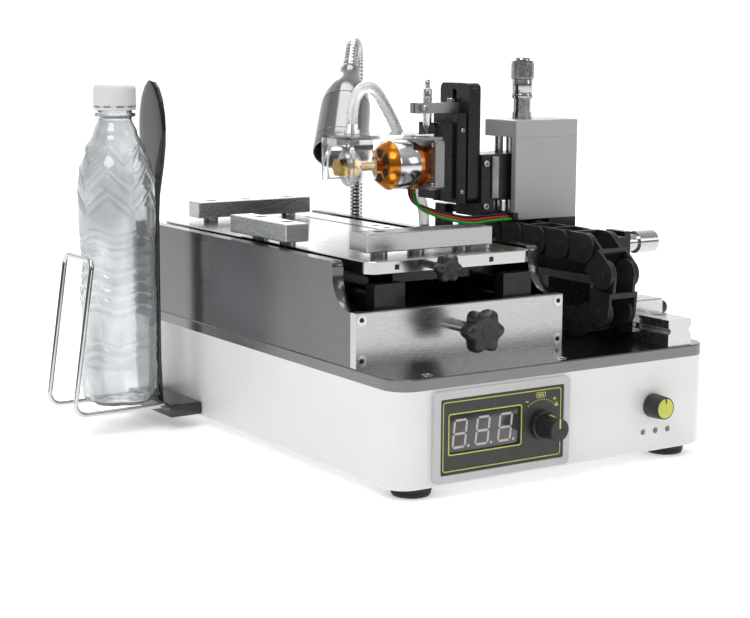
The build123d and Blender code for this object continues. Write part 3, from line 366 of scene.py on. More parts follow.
def sweep(points, radii, steps=20, caps=True, bm=None, mat_index=0):
    """A round tube through row-frame points, with a radius in metres for each."""
    bm = bm or bmesh.new()
    tangents = []
    for k in range(len(points)):
        a, b = points[max(0, k - 1)], points[min(len(points) - 1, k + 1)]
        tangents.append((b - a).normalized())
    side = tangents[0].orthogonal().normalized()
    rings = []
    for k, (point, tangent) in enumerate(zip(points, tangents)):
        side = (side - tangent * side.dot(tangent)).normalized()
        other = tangent.cross(side)
        r = radii[k] if isinstance(radii, (list, tuple)) else radii
        rings.append([bm.verts.new(point + (side * math.cos(2 * math.pi * j / steps)
                                            + other * math.sin(2 * math.pi * j / steps)) * r)
                      for j in range(steps)])
    for low, high in zip(rings, rings[1:]):
        for j in range(steps):
            i = (j + 1) % steps
            bm.faces.new((low[j], low[i], high[i], high[j])).material_index = mat_index
    if caps:
        bm.faces.new(rings[0][::-1])
        bm.faces.new(rings[-1])
    return bm


def row_piece(name, bm, body, mat):
    """Like piece(), for a bmesh already in the row frame."""
    bmesh.ops.recalc_face_normals(bm, faces=bm.faces[:])
    for face in bm.faces:
        face.smooth = True
    mesh = bpy.data.meshes.new(name)
    bm.to_mesh(mesh)
    bm.free()
    for m in (mat if isinstance(mat, (list, tuple)) else [mat]):
        mesh.materials.append(m)
    obj = bpy.data.objects.new(name, mesh)
    bpy.context.scene.collection.objects.link(obj)
    if body:
        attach(obj, body)
    return obj


def spline_points(route, resolution=14):
    """The smooth line of a route, as a NURBS spline with the route's points as its controls."""
    data = bpy.data.curves.new("route_line", "CURVE")
    data.dimensions = "3D"
    data.resolution_u = resolution
    spline = data.splines.new("NURBS")
    spline.points.add(len(route) - 1)
    for point, station in zip(spline.points, route):
        point.co = (*at(*station), 1.0)
    spline.order_u = 3
    spline.use_endpoint_u = True
    obj = bpy.data.objects.new("route_line", data)
    bpy.context.scene.collection.objects.link(obj)
    mesh = bpy.data.meshes.new_from_object(obj)
    points = [v.co.copy() for v in mesh.vertices]
    bpy.data.meshes.remove(mesh)
    bpy.data.objects.remove(obj)
    bpy.data.curves.remove(data)
    return points


# ---- cords -------------------------------------------------------------------------------------
HOSE_ROUTE = [
    (57.5, 130.0, 166.5), (57.5, 130.0, 172.0), (60.1, 131.5, 179.6), (65.7, 134.6, 184.6),
    (72.9, 138.5, 186.2), (80.1, 142.5, 184.2), (86.5, 146.1, 179.4), (95.1, 150.9, 171.0),
    (105.6, 156.7, 159.0), (115.6, 162.3, 146.0), (125.2, 167.6, 131.5), (132.2, 171.5, 118.5),
    (135.8, 173.5, 108.5), (135.8, 173.5, 98.0),
]


def make_hose():
    points = spline_points(HOSE_ROUTE)
    bm = sweep(points, 3.1 * MM, steps=28)
    hose = row_piece("hose_tube", bm, None, HOSE)
    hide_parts("water_hose")
    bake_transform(hose)


def lead_route(k):
    s = k - 1
    drop = 1.5 * s
    return [
        (99.2, 134.0 + 2.4 * s, 129.6), (99.2, 133.5 + 2.4 * s, 121.8 + 0.4 * drop),
        (105.0, 126.0 + 2.2 * s, 117.3 + drop), (114.0, 117.0 + 2.0 * s, 114.3 + drop),
        (123.0, 110.8 + 2.1 * s, 112.2 + drop), (134.0, 107.6 + 2.1 * s, 113.8 + 0.8 * drop),
        (147.5, 107.6 + 2.1 * s, 113.8 + 0.8 * drop),
    ]


def make_leads():
    for k, (name, mat) in enumerate((("lead_green", GREEN_WIRE), ("lead_red", RED_WIRE),
                                     ("lead_black", BLACK_WIRE))):
        points = spline_points(lead_route(k))
        lead = row_piece(name, sweep(points, 0.9 * MM, steps=14), None, mat)
        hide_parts("motor_leads")
        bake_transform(lead)


make_hose()
make_leads()


# ---- base and panel ----------------------------------------------------------------------------
DECK = 53.8
PRINT_Y0, PRINT_Y1 = -1.86, -1.78
KNOB_X, KNOB_Z = 84.5, 24.0
FLOW_X, FLOW_Z = 159.5, 24.8


def make_panel_print():
    bm = bmesh.new()
    outline_strip(bm, 25.3, 97.3, 7.3, 41.5, 1.6, 0.45, PRINT_Y0, PRINT_Y1)
    outline_strip(bm, 28.5, 72.8, 15.1, 35.6, 1.4, 0.55, PRINT_Y0, PRINT_Y1)
    outline_strip(bm, 81.6, 87.4, 37.6, 40.2, 0.7, 0.35, PRINT_Y0, PRINT_Y1)
    for k in range(3):
        prism(bm, rounded_rect(82.7 + 1.3 * k, 83.6 + 1.3 * k, 38.4, 39.4, 0.2, 3), PRINT_Y0, PRINT_Y1)
    for k in range(13):
        a = math.radians(128 - 6.8 * k)
        x, z = KNOB_X + 12.4 * math.cos(a), KNOB_Z + 0.2 + 12.4 * math.sin(a)
        prism(bm, [(x + 0.32 * math.cos(t), z + 0.32 * math.sin(t)) for t in
                   [math.pi * j / 4 for j in range(8)]], PRINT_Y0, PRINT_Y1)
    tip = (KNOB_X + 9.8, KNOB_Z + 9.2)
    prism(bm, [(tip[0] - 1.2, tip[1] - 1.0), (tip[0] + 1.3, tip[1] - 0.8), (tip[0] + 0.1, tip[1] + 1.4)],
          PRINT_Y0, PRINT_Y1)
    prism(bm, rounded_rect(KNOB_X - 9.6, KNOB_X - 7.8, 36.0, 36.5, 0.1, 2), PRINT_Y0, PRINT_Y1)
    prism(bm, rounded_rect(KNOB_X + 7.6, KNOB_X + 9.6, 35.9, 36.4, 0.1, 2), PRINT_Y0, PRINT_Y1)
    prism(bm, rounded_rect(KNOB_X + 8.35, KNOB_X + 8.85, 35.15, 37.15, 0.1, 2), PRINT_Y0 - 0.01, PRINT_Y1)
    piece("panel_lines", bm, "base", LIME, smooth=False)

    bm = bmesh.new()
    block(bm, 29.35, 71.95, -1.02, -0.85, 15.95, 34.75, 0.05)
    piece("display_window", bm, "base", WINDOW)


def segment_bars(x, z, w, h, t):
    """The seven bars and the point of one display digit, leaning a little to the right."""
    g = 0.28
    horizontal = [(x + g, x + w - g, z + zz) for zz in (0, h / 2, h)]
    bars = []
    for x0, x1, zc in horizontal:
        bars.append([(x0, zc), (x0 + t / 2, zc + t / 2), (x1 - t / 2, zc + t / 2), (x1, zc),
                     (x1 - t / 2, zc - t / 2), (x0 + t / 2, zc - t / 2)])
    for xc in (x, x + w):
        for z0, z1 in ((z + g, z + h / 2 - g), (z + h / 2 + g, z + h - g)):
            bars.append([(xc, z0), (xc + t / 2, z0 + t / 2), (xc + t / 2, z1 - t / 2), (xc, z1),
                         (xc - t / 2, z1 - t / 2), (xc - t / 2, z0 + t / 2)])
    cx, cz = x + w + 2.2, z + 0.1
    bars.append([(cx + 0.75 * math.cos(a), cz + 0.75 * math.sin(a)) for a in
                 [math.pi * j / 6 for j in range(12)]])
    return [[(px + (pz - z) * 0.10, pz) for px, pz in bar] for bar in bars]


def make_display():
    bm = bmesh.new()
    for x in (31.6, 45.2, 58.8):
        for bar in segment_bars(x, 18.6, 7.2, 13.2, 1.15):
            prism(bm, bar, -1.10, -1.0)
    piece("display_segments", bm, "base", SEGMENT, smooth=False)


def fluted(count, depth):
    def wave(angle, radius, height):
        return radius + depth * (0.5 + 0.5 * math.cos(count * angle)) ** 0.5
    return wave


def make_control_knobs():
    # governor knob: a fluted grip over the turned core, with a printed pointer
    lathe_piece("governor_grip", [(5.25, -17.02), (5.3, -16.8), (6.02, -5.6), (5.9, -5.3)], (0, 1, 0),
                (KNOB_X, 0, KNOB_Z), "governor", KNOB_BLACK, 144, fluted(24, 0.24), sharp=60)
    lathe_piece("governor_skirt", [(6.6, -5.6), (7.2, -5.3), (7.42, -4.6), (7.42, -3.2), (7.2, -3.0)],
                (0, 1, 0), (KNOB_X, 0, KNOB_Z), "governor", KNOB_BLACK, 72)
    bm = bmesh.new()
    prism(bm, rounded_rect(KNOB_X - 0.42, KNOB_X + 0.42, KNOB_Z + 0.8, KNOB_Z + 5.5, 0.2, 3), -17.14, -16.4)
    front = [(KNOB_X - 0.42, -17.1, KNOB_Z + 5.3), (KNOB_X + 0.42, -17.1, KNOB_Z + 5.3),
             (KNOB_X + 0.42, -9.0, KNOB_Z + 6.15), (KNOB_X - 0.42, -9.0, KNOB_Z + 6.15)]
    low = [bm.verts.new((x, y, z - 0.6)) for x, y, z in front]
    high = [bm.verts.new((x, y, z + 0.02)) for x, y, z in front]
    bm.faces.new(high)
    bm.faces.new(low[::-1])
    for k in range(4):
        j = (k + 1) % 4
        bm.faces.new((low[k], low[j], high[j], high[k]))
    piece("governor_pointer", bm, "governor", LIME, smooth=False)

    lathe_piece("flow_grip", [(5.62, -10.52), (5.72, -10.3), (6.3, -1.2), (6.2, -0.7)], (0, 1, 0),
                (FLOW_X, 0, FLOW_Z), "flow", KNOB_BLACK, 160, fluted(40, 0.12), sharp=60)
    lathe_piece("flow_cap", [(5.0, -10.4), (5.15, -10.62), (5.0, -10.78), (0.02, -10.80)], (0, 1, 0),
                (FLOW_X, 0, FLOW_Z), "flow", LIME, 64)
    bm = bmesh.new()
    prism(bm, rounded_rect(FLOW_X - 0.42, FLOW_X + 0.42, FLOW_Z + 2.6, FLOW_Z + 5.5, 0.2, 3), -10.92, -10.5)
    piece("flow_pointer", bm, "flow", KNOB_BLACK, smooth=False)


def make_feet():
    for i, (x, y) in enumerate(((18, 14), (18, 276), (182, 14), (182, 276))):
        lathe_piece(f"foot_{i}", [(8.4, -5.5), (9.3, -5.2), (9.7, -4.4), (10.0, -3.4), (9.7, -3.2),
                                  (9.7, -2.9), (10.15, -2.6), (10.45, -0.6), (10.4, -0.02)],
                    (0, 0, 1), (x, y, 0), "base", RUBBER, 64)
    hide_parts("feet")


PLATE_SCREWS = [(x, z) for x in (3.65, 125.05) for z in (57.5, 77.6)]
DECK_SCREWS = [(x, y) for y in (7.0, 283.0) for x in (22.0, 104.0, 180.0)] + [(193.0, 110.0), (193.0, 200.0)]


def make_screw_sockets():
    """Painted shade in the hex recesses of the deck's and end plate's countersunk screws, shown as dark
    insets.
    """
    bm = bmesh.new()
    for x, y in DECK_SCREWS:
        lathe(bm, [(1.15, DECK - 0.9), (1.15, DECK + 0.03)], (0, 0, 1), (x, y, 0), 6)
    for x, z in PLATE_SCREWS:
        lathe(bm, [(1.25, 35.9), (1.25, 37.0)], (0, 1, 0), (x, 0, z), 6)
    piece("socket_shade", bm, "base", PAINTED_SHADE_AND_SEAM, smooth=False)
    bm = bmesh.new()
    for x, y in DECK_SCREWS:
        lathe(bm, ring_profile(2.75, DECK - 0.02, 0.16, 8), (0, 0, 1), (x, y, 0), 40, closed=True)
    for x, z in PLATE_SCREWS:
        lathe(bm, [(3.0, 36.12), (2.95, 35.9), (1.35, 35.85), (1.3, 36.1)], (0, 1, 0), (x, 0, z), 40,
              closed=True)
    piece("screw_head_rims", bm, "base", STEEL)


make_panel_print()
make_display()
make_control_knobs()
make_feet()
make_screw_sockets()


# ---- table, clamps and star knobs --------------------------------------------------------------
def star_knob(name, x, z, y0, y1, radius, neck, shaft, body, node):
    """A six-lobed moulded grip with a crowned face, its neck and its threaded end."""
    def lobes(angle, r, h):
        edge = min(1.0, r / radius)
        return r * (1 + 0.13 * edge * math.cos(6 * angle)) / 1.13
    depth = y1 - y0
    bm = bmesh.new()
    profile = [(0.02, y0 - 0.05), (radius * 0.30, y0), (radius * 0.32, y0 + 0.35), (radius * 0.60, y0 + 0.30),
               (radius * 0.86, y0 + 0.10), (radius * 0.96, y0 + depth * 0.10), (radius, y0 + depth * 0.28),
               (radius, y0 + depth * 0.72), (radius * 0.95, y0 + depth * 0.92), (radius * 0.82, y1),
               (neck + 0.3, y1), (neck, y1 + 0.3), (neck, y1 + 3.6), (neck - 0.3, y1 + 4.0)]
    lathe(bm, profile, (0, 1, 0), (x, 0, z), 120, wave=lobes)
    if shaft:
        lathe(bm, [(shaft[0], y1 + 3.9), (shaft[0], shaft[1])], (0, 1, 0), (x, 0, z), 32)
    knob = piece(name, bm, body, KNOB_BLACK, sharp=50)
    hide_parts(node)
    return knob


TAPPED_HOLE_X, TAPPED_HOLE_YS = 107.0, (96.0, 108.0, 170.0, 182.0, 200.0)


def make_table_detail():
    star_knob("feed_star", 58.5, 71.0, 8.0, 17.0, 11.4, 5.6, None, "feed", "feed_knob")
    star_knob("lock_star", 50.0, 100.5, 27.0, 33.5, 7.3, 3.4, (1.9, 56.0), "table_lock", "lock_knob")
    # painted shade: a dark fill at the bottom of the long groove and in the tapped holes beside it
    bm = bmesh.new()
    block(bm, 96.45, 98.75, 56.1, 245.9, 101.4, 103.25, 0.0)
    for y in TAPPED_HOLE_YS:
        lathe(bm, [(1.68, 99.2), (1.68, 103.3)], (0, 0, 1), (TAPPED_HOLE_X, y, 0), 24)
    piece("groove_and_hole_shade", bm, "table", PAINTED_SHADE_AND_SEAM, smooth=False)
    # raised rims of the tapped holes
    bm = bmesh.new()
    for y in TAPPED_HOLE_YS:
        lathe(bm, ring_profile(1.95, 103.98, 0.14, 8), (0, 0, 1), (TAPPED_HOLE_X, y, 0), 36, closed=True)
    piece("table_hole_rims", bm, "table", SCREW_STEEL)
    # small square pockets in the table's front edge, filled with painted shade
    bm = bmesh.new()
    for x in (30.0, 88.0):
        block(bm, x - 1.3, x + 1.3, 44.93, 45.3, 99.4, 102.0, 0.0)
    piece("table_pocket_shade", bm, "table", PAINTED_SHADE_AND_SEAM, smooth=False)


make_table_detail()


# ---- rail, chain, saddle -----------------------------------------------------------------------
RAIL_X = 179.5


def hex_cap(bm, x, y, z, r=2.4, h=1.6, axis=(0, 0, 1)):
    """A socket cap screw's head standing on a face."""
    lathe(bm, [(r, 0), (r, h - 0.3), (r - 0.3, h), (r * 0.52, h), (r * 0.5, h - 0.9), (0.02, h - 0.9)],
          axis, (x, y, z), 30)


def make_gantry_detail():
    bm = bmesh.new()
    for k in range(7):
        y = 20 + 40 * k
        lathe(bm, [(2.7, DECK + 10.2), (2.7, DECK + 12.6), (2.4, DECK + 12.9), (1.4, DECK + 12.9),
                   (1.35, DECK + 12.0), (0.02, DECK + 12.0)], (0, 0, 1), (RAIL_X, y, 0), 30)
    piece("rail_screws", bm, "base", SCREW_STEEL)
    lathe_piece("stop_knob", [(3.0, 189.95), (3.55, 190.1), (3.55, 194.3), (3.2, 194.6), (0.02, 194.65)],
                (1, 0, 0), (0, 31.6, 69.4), "stop", KNOB_BLACK, 40)
    bm = bmesh.new()
    for x, y in ((176.0, 64.0), (194.0, 64.0), (176.0, 142.0), (194.0, 142.0), (154.0, 150.0)):
        hex_cap(bm, x, y, 83.9, 2.1, 1.3)
    piece("saddle_screws", bm, "gantry", SCREW_STEEL)
    bm = bmesh.new()
    hex_cap(bm, 203.4, 73.0, 88.0, 1.5, 1.0, (1, 0, 0))
    hex_cap(bm, 203.4, 81.0, 88.0, 1.5, 1.0, (1, 0, 0))
    piece("x_bracket_screws", bm, "gantry", SCREW_STEEL)


LINK_PITCH, LINK_W = 20.0, 19.2
CHAIN_X, CHAIN_LOW, BEND_ANGLES = 158.0, (49.5, 62.2), (157.0, 95.4, 40.0)


def make_chain_detail():
    """Hollow pins, with painted shade in their bores, and raised cheeks on each chain link."""
    pins, (y, z) = [CHAIN_LOW], CHAIN_LOW
    for angle in BEND_ANGLES:
        y += LINK_PITCH * math.cos(math.radians(angle))
        z += LINK_PITCH * math.sin(math.radians(angle))
        pins.append((y, z))

    def dots(name, places, body):
        dark, rims = bmesh.new(), bmesh.new()
        for py, pz in places:
            for side in (-1, 1):
                x = CHAIN_X + side * (LINK_W / 2 + 0.40)
                ends = sorted((x, x + side * 0.06))
                # painted shade in each hollow pin's bore
                lathe(dark, [(1.25, ends[0]), (1.25, ends[1])], (1, 0, 0), (0, py, pz), 24)
                lathe(rims, ring_profile(1.7, x - side * 0.1, 0.28, 8), (1, 0, 0), (0, py, pz), 32,
                      closed=True)
        piece(name + "_bore_shade", dark, body, PAINTED_SHADE_AND_SEAM)
        piece(name + "_rims", rims, body, CHAIN_BLACK)

    dots("bend_pin", pins[:-1], "chain")
    dots("run_pin", [(pins[-1][0] + LINK_PITCH * k, pins[-1][1]) for k in range(5)], "gantry")


make_gantry_detail()
make_chain_detail()


# ---- micrometers -------------------------------------------------------------------------------
def knurl(count, depth, bands):
    def wave(angle, radius, height):
        for low, high in bands:
            if low <= height <= high:
                return radius + depth * (0.5 + 0.5 * math.cos(count * angle))
        return radius
    return wave


Z_MIC, X_MIC = (166.0, 121.5, 0), (0, 77.0, 98.6)      # a point on each micrometer's axis


def make_micrometers():
    # z micrometer thimble, fine band at the bottom and a knurled grip above
    profile = [(5.0, 178.6), (5.45, 178.7), (5.7, 179.0), (5.7, 181.2), (5.55, 181.4), (5.55, 181.9),
               (5.7, 182.1), (5.7, 188.8), (5.5, 189.2), (6.0, 189.5), (6.14, 189.8)]
    profile += [(6.14, 189.85 + 0.85 * k) for k in range(11)]
    profile += [(6.0, 199.2), (5.4, 199.6), (4.2, 199.6), (4.2, 201.1), (3.9, 201.3), (0.02, 201.3)]
    lathe_piece("z_thimble", profile, (0, 0, 1), Z_MIC, "z_micrometer", CHROME,
                180, knurl(45, 0.26, [(189.83, 198.9)]), sharp=70)
    bm = bmesh.new()
    for k in range(30):
        a = 2 * math.pi * k / 30
        length = 1.3 if k % 5 else 2.0
        x, y = Z_MIC[0] + 5.72 * math.cos(a), Z_MIC[1] + 5.72 * math.sin(a)
        lathe(bm, [(0.10, 179.1), (0.10, 179.1 + length)], (0, 0, 1), (x, y, 0), 6)
    piece("z_thimble_marks", bm, "z_micrometer", SEAM, smooth=False)
    bm = bmesh.new()
    for k in range(9):
        lathe(bm, [(4.89, 172.2 + 0.5 * k), (4.915, 172.25 + 0.5 * k), (4.89, 172.3 + 0.5 * k)], (0, 0, 1),
              Z_MIC, 40, closed=True)
    piece("z_sleeve_marks", bm, "x_stage", SEAM, smooth=False)
    # x micrometer thimble
    profile = [(5.0, 213.0), (5.9, 213.05), (6.1, 213.3), (6.1, 217.2), (5.8, 217.5), (5.8, 217.9)]
    profile += [(6.06, 218.2)]
    profile += [(6.06, 218.25 + 0.85 * k) for k in range(10)]
    profile += [(5.9, 226.2), (4.2, 226.4), (4.2, 227.8), (3.9, 228.0), (0.02, 228.0)]
    lathe_piece("x_thimble", profile, (1, 0, 0), X_MIC, "x_micrometer", CHROME,
                180, knurl(45, 0.24, [(218.22, 225.95)]), sharp=70)


make_micrometers()


# ---- z head and motor --------------------------------------------------------------------------
SPIN_Y, SPIN_Z = 130.0, 143.4


def make_head_detail():
    bm = bmesh.new()
    # screws of the fine slide and of the plate's block
    for z in (143.4, 119.6):
        hex_cap(bm, 134.8, 112.9, z, 1.9, 1.2, (0, -1, 0))
    for z in (128.0, 162.0):
        hex_cap(bm, 120.7, 115.9, z, 1.3, 0.7, (0, -1, 0))
    piece("head_screws", bm, "z_head", SCREW_STEEL)
    bm = bmesh.new()
    hex_cap(bm, 121.2, 128.3, 176.9, 1.9, 2.4)
    hex_cap(bm, 112.0, 128.0, 176.9, 0.9, 0.3)
    hex_cap(bm, 99.6, 122.0, 174.1, 1.9, 1.6, (0, -1, 0))
    piece("arm_screws", bm, "z_head", SCREW_STEEL)
    bm = bmesh.new()
    block(bm, 138.6, 143.6, 111.4, 113.1, 123.4, 147.6, 1.1, 4)
    piece("slide_rib", bm, "z_head", GREY_METAL)
    # parting line of the fine slide
    bm = bmesh.new()
    block(bm, 117.4, 124.05, 115.93, 116.05, 146.2, 146.6, 0.0)
    block(bm, 120.3, 120.6, 115.93, 116.05, 122.5, 171.0, 0.0)
    piece("slide_seams", bm, "z_head", PAINTED_SHADE_AND_SEAM, smooth=False)
    # mount screws and guard screws
    bm = bmesh.new()
    for y in (119.0, 141.0):
        for z in (132.5, 154.3):
            hex_cap(bm, 102.8, y, z, 1.5, 1.1, (-1, 0, 0))
    for y in (119.0, 141.0):
        hex_cap(bm, 47.5, y, 156.0, 1.25, 0.6, (-1, 0, 0))
    piece("guard_screws", bm, "z_head", SCREW_STEEL)
    # collars of the pointer pin
    lathe_piece("pointer_collars",
                [(0.02, 160.35), (0.3, 160.4), (2.34, 164.6), (2.34, 178.4), (2.5, 178.6), (2.5, 180.0),
                 (2.34, 180.2), (2.34, 184.0), (2.0, 184.6), (1.2, 185.0), (1.2, 187.2), (1.55, 187.5),
                 (1.55, 188.2), (1.0, 189.3), (0.02, 189.5)],
                (0, 0, 1), (105.3, 128.0, 0), "pointer", STEEL, 40)


def make_motor_detail():
    # bell: an orange ring with six spokes, with painted shade in the openings between them
    bm = bmesh.new()
    for k in range(6):
        a = math.radians(60 * k + 30)
        c, s = math.cos(a), math.sin(a)
        # outer pocket between two spokes, a dark prism of painted shade
        shape = [(-1.9, 4.2), (1.9, 4.2), (3.1, 8.2), (0.0, 9.4), (-3.1, 8.2)]
        pts = [(SPIN_Y + u * -s + v * c, SPIN_Z + u * c + v * s) for u, v in shape]
        front = [bm.verts.new((75.38, y, z)) for y, z in pts]
        back = [bm.verts.new((76.2, y, z)) for y, z in pts]
        bm.faces.new(front)
        bm.faces.new(back[::-1])
        for i in range(5):
            j = (i + 1) % 5
            bm.faces.new((front[i], back[i], back[j], front[j]))
    piece("bell_opening_shade", bm, "rotor", PAINTED_SHADE_AND_SEAM, smooth=False)
    lathe_piece("bell_face",
                [(9.35, 75.42), (9.75, 75.6), (13.42, 80.2), (13.5, 80.5), (13.5, 81.2), (13.3, 81.3)],
                (1, 0, 0), (0, SPIN_Y, SPIN_Z), "rotor", ORANGE, 96)
    lathe_piece("shaft_clip", [(1.62, 74.6), (2.9, 74.6), (3.0, 74.9), (3.0, 75.5), (1.62, 75.5)],
                (1, 0, 0), (0, SPIN_Y, SPIN_Z), "rotor", RED, 40, closed=True)
    lathe_piece("can_band",
                [(13.52, 81.3), (13.62, 81.5), (13.62, 93.6), (13.5, 93.9), (13.4, 93.9), (13.4, 81.3)],
                (1, 0, 0), (0, SPIN_Y, SPIN_Z), "rotor", CAN, 96, closed=True)
    # windings behind the can, wrapped round twelve teeth
    bm = bmesh.new()
    for k in range(12):
        a = math.radians(30 * k)
        for n in range(4):
            r = 7.4 + 1.1 * n
            y, z = SPIN_Y + r * math.cos(a), SPIN_Z + r * math.sin(a)
            width = 0.5 + 0.12 * n
            lathe(bm, ring_profile(width + 0.55, 0.0, 0.42, 8),
                  (0, math.cos(a), math.sin(a)), (95.6, y, z), 14, closed=True)
    piece("winding_ends", bm, "z_head", COPPER)
    # the stator's cross-shaped mounting plate
    bm = bmesh.new()
    for turn in (45.0, 135.0):
        arm = bmesh.new()
        block(arm, 101.3, 102.65, -12.2, 12.2, -2.4, 2.4, 0.3)
        spin = Matrix.Translation((0, SPIN_Y, SPIN_Z)) @ Matrix.Rotation(math.radians(turn), 4, "X")
        arm.transform(spin)
        mesh = bpy.data.meshes.new("arm")
        arm.to_mesh(mesh)
        arm.free()
        bm.from_mesh(mesh)
        bpy.data.meshes.remove(mesh)
    piece("stator_cross", bm, "z_head", ORANGE)


make_head_detail()
make_motor_detail()


# ---- lamp --------------------------------------------------------------------------------------
LAMP_X, LAMP_Y = 150.0, 270.0
ARCH_R, ARCH_Z, ARCH_TURN, NECK_END = 12.0, 196.0, math.radians(139.6), 13.0
ARCH_DIR = (-0.6466, -0.7628)
BALL = Vector((130.886, 247.451, 193.878))
HEAD_AXIS = Vector((0.4189, 0.4942, 0.7615))          # from the shade's mouth back to the gooseneck
LENS_DEPTH, SHADE_STEPS = 49.25, 96


def neck_points(pitch):
    """Close stations along the gooseneck: the rise, the bend and the short straight end."""
    points = []
    z = DECK + 14.0
    while z < ARCH_Z:
        points.append((LAMP_X, LAMP_Y, z))
        z += pitch
    steps = int(ARCH_TURN * ARCH_R / pitch)
    for k in range(steps + 1):
        a = ARCH_TURN * k / steps
        along = ARCH_R * (1 - math.cos(a))
        points.append((LAMP_X + along * ARCH_DIR[0], LAMP_Y + along * ARCH_DIR[1],
                       ARCH_Z + ARCH_R * math.sin(a)))
    bend_end = Vector(points[-1])
    for k in range(1, int((NECK_END - 3.0) / pitch)):
        points.append(tuple(bend_end - HEAD_AXIS * (pitch * k)))
    return points


def make_lamp_detail():
    row = [at(*p) for p in neck_points(0.36)]
    radii, travelled = [], 0.0
    for k, p in enumerate(row):
        if k:
            travelled += (p - row[k - 1]).length / MM
        radii.append((3.95 + 0.38 * abs(math.sin(math.pi * travelled / 2.3))) * MM)
    row_piece("gooseneck_coils", sweep(row, radii, steps=28), "base", CHROME)
    # collar between the gooseneck and the head's ball
    lathe_piece("neck_collar",
                [(4.3, 0.9), (4.6, 1.2), (4.7, 1.6), (4.7, 3.6), (4.4, 4.1), (3.9, 4.1), (3.9, 0.9)],
                HEAD_AXIS, BALL, "base", CHROME, 48, closed=True)
    lathe_piece("stand_ring", [(6.3, DECK + 13.0), (6.9, DECK + 13.3), (6.9, DECK + 15.2), (6.4, DECK + 15.6),
                               (3.9, DECK + 15.6), (3.9, DECK + 13.0)],
                (0, 0, 1), (LAMP_X, LAMP_Y, 0), "base", CHROME, 48, closed=True)
    # head: a spun shade with a parting ring, a rolled lip and a ringed inside that is painted shade
    outer = [(5.5, -0.9), (5.8, -1.2), (5.95, -4.0), (7.4, -9.0), (9.6, -13.6), (11.4, -17.5), (12.9, -21.5),
             (14.1, -25.8), (14.75, -29.0), (14.9, -29.5), (14.6, -29.7), (14.6, -30.2), (14.95, -30.4),
             (15.5, -40.0), (15.9, -50.0), (16.15, -57.6), (15.9, -57.8), (15.9, -58.3), (16.25, -58.5),
             (16.55, -65.2), (16.4, -65.8), (15.8, -65.8)]
    inner = [(15.5, -65.2)]
    for k in range(7):
        h = -64.4 + 1.5 * k
        inner += [(15.3 - 0.05 * k, h), (14.9 - 0.05 * k, h + 0.55), (15.25 - 0.05 * k, h + 1.1)]
    inner += [(14.8, -50.0), (14.6, -44.0), (13.5, -30.0), (10.0, -18.5), (6.3, -11.5), (5.1, -8.0),
              (5.0, -0.9)]
    bm = bmesh.new()
    lathe(bm, outer + inner, HEAD_AXIS, BALL, SHADE_STEPS, closed=True)
    # the inner faces take the painted shade material
    for i, face in enumerate(bm.faces):
        if len(outer) <= i // SHADE_STEPS < len(outer) + len(inner) - 1:
            face.material_index = 1
    shade_piece = piece("shade_shell", bm, "lamp_head", [SHADE_METAL, PAINTED_SHADE_AND_SEAM], sharp=50)
    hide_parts("lamp_shade")
    bm = bmesh.new()
    side = Vector((-ARCH_DIR[1], ARCH_DIR[0], 0))
    other = HEAD_AXIS.cross(side)
    for k in range(12):
        a = 2 * math.pi * k / 12
        spot = BALL - HEAD_AXIS * LENS_DEPTH + side * (9.0 * math.cos(a)) + other * (9.0 * math.sin(a))
        lathe(bm, [(1.5, -0.5), (1.5, 0.1)], HEAD_AXIS, spot, 16)
    piece("lamp_diodes", bm, "lamp_head", LIME)


make_lamp_detail()


# ---- bottle and cage ---------------------------------------------------------------------------
BOTTLE_X, BOTTLE_Y, BOTTLE_Z = -38.0, 223.0, 9.1


def smooth(a, b, t):
    t = min(1.0, max(0.0, (t - a) / (b - a)))
    return t * t * (3 - 2 * t)


def interp(table, h):
    for (h0, r0), (h1, r1) in zip(table, table[1:]):
        if h <= h1:
            t = (h - h0) / (h1 - h0)
            return r0 + (r1 - r0) * t * t * (3 - 2 * t)
    return table[-1][1]


BODY = [(0, 17.4), (2.2, 20.0), (7, 21.3), (20, 21.3), (24, 20.8), (62, 21.2), (70, 20.4), (79, 19.9),
        (88, 20.6),
        (98, 21.3), (122, 21.3), (130, 20.0), (141, 16.4), (151, 12.0), (157, 9.6), (160, 9.2), (172, 9.2)]


def bottle_radius(angle, h):
    """Outer radius of the blown bottle: petal foot, wavy ribs low, chevrons on the shoulder."""
    r = interp(BODY, h)
    # petaloid foot
    foot = 1 - smooth(3, 21, h)
    r -= 2.3 * foot * (0.5 - 0.5 * math.cos(5 * angle)) ** 3
    # wavy rings
    for centre, amp, waves in ((27, 0.9, 5), (33, 1.0, 5), (54, 0.7, 5), (61, 1.0, 5), (67, 0.9, 5),
                               (74, 1.0, 5), (86, 1.0, 5), (94, 0.8, 5)):
        mid = centre + 1.7 * math.cos(waves * angle + 0.6)
        d = (h - mid) / 1.15
        r -= amp * math.exp(-d * d)
        d2 = (h - mid - 2.1) / 0.9
        r += 0.35 * amp * math.exp(-d2 * d2)
    # chevrons: slanted grooves that meet in a peak on each of five panels
    if 100 < h < 152:
        panel = (5 * (angle + 0.35) / (2 * math.pi)) % 1.0
        rise = abs(panel - 0.5) * 2
        for centre in (112, 124.5, 137):
            mid = centre - 11.0 * rise + 5.5
            d = (h - mid) / 1.25
            fade = smooth(0.02, 0.15, rise + 0.14) * (1 - smooth(0.80, 0.97, rise))
            r -= 1.15 * fade * math.exp(-d * d)
            d2 = (h - mid - 2.3) / 1.0
            r += 0.5 * fade * math.exp(-d2 * d2)
    return r


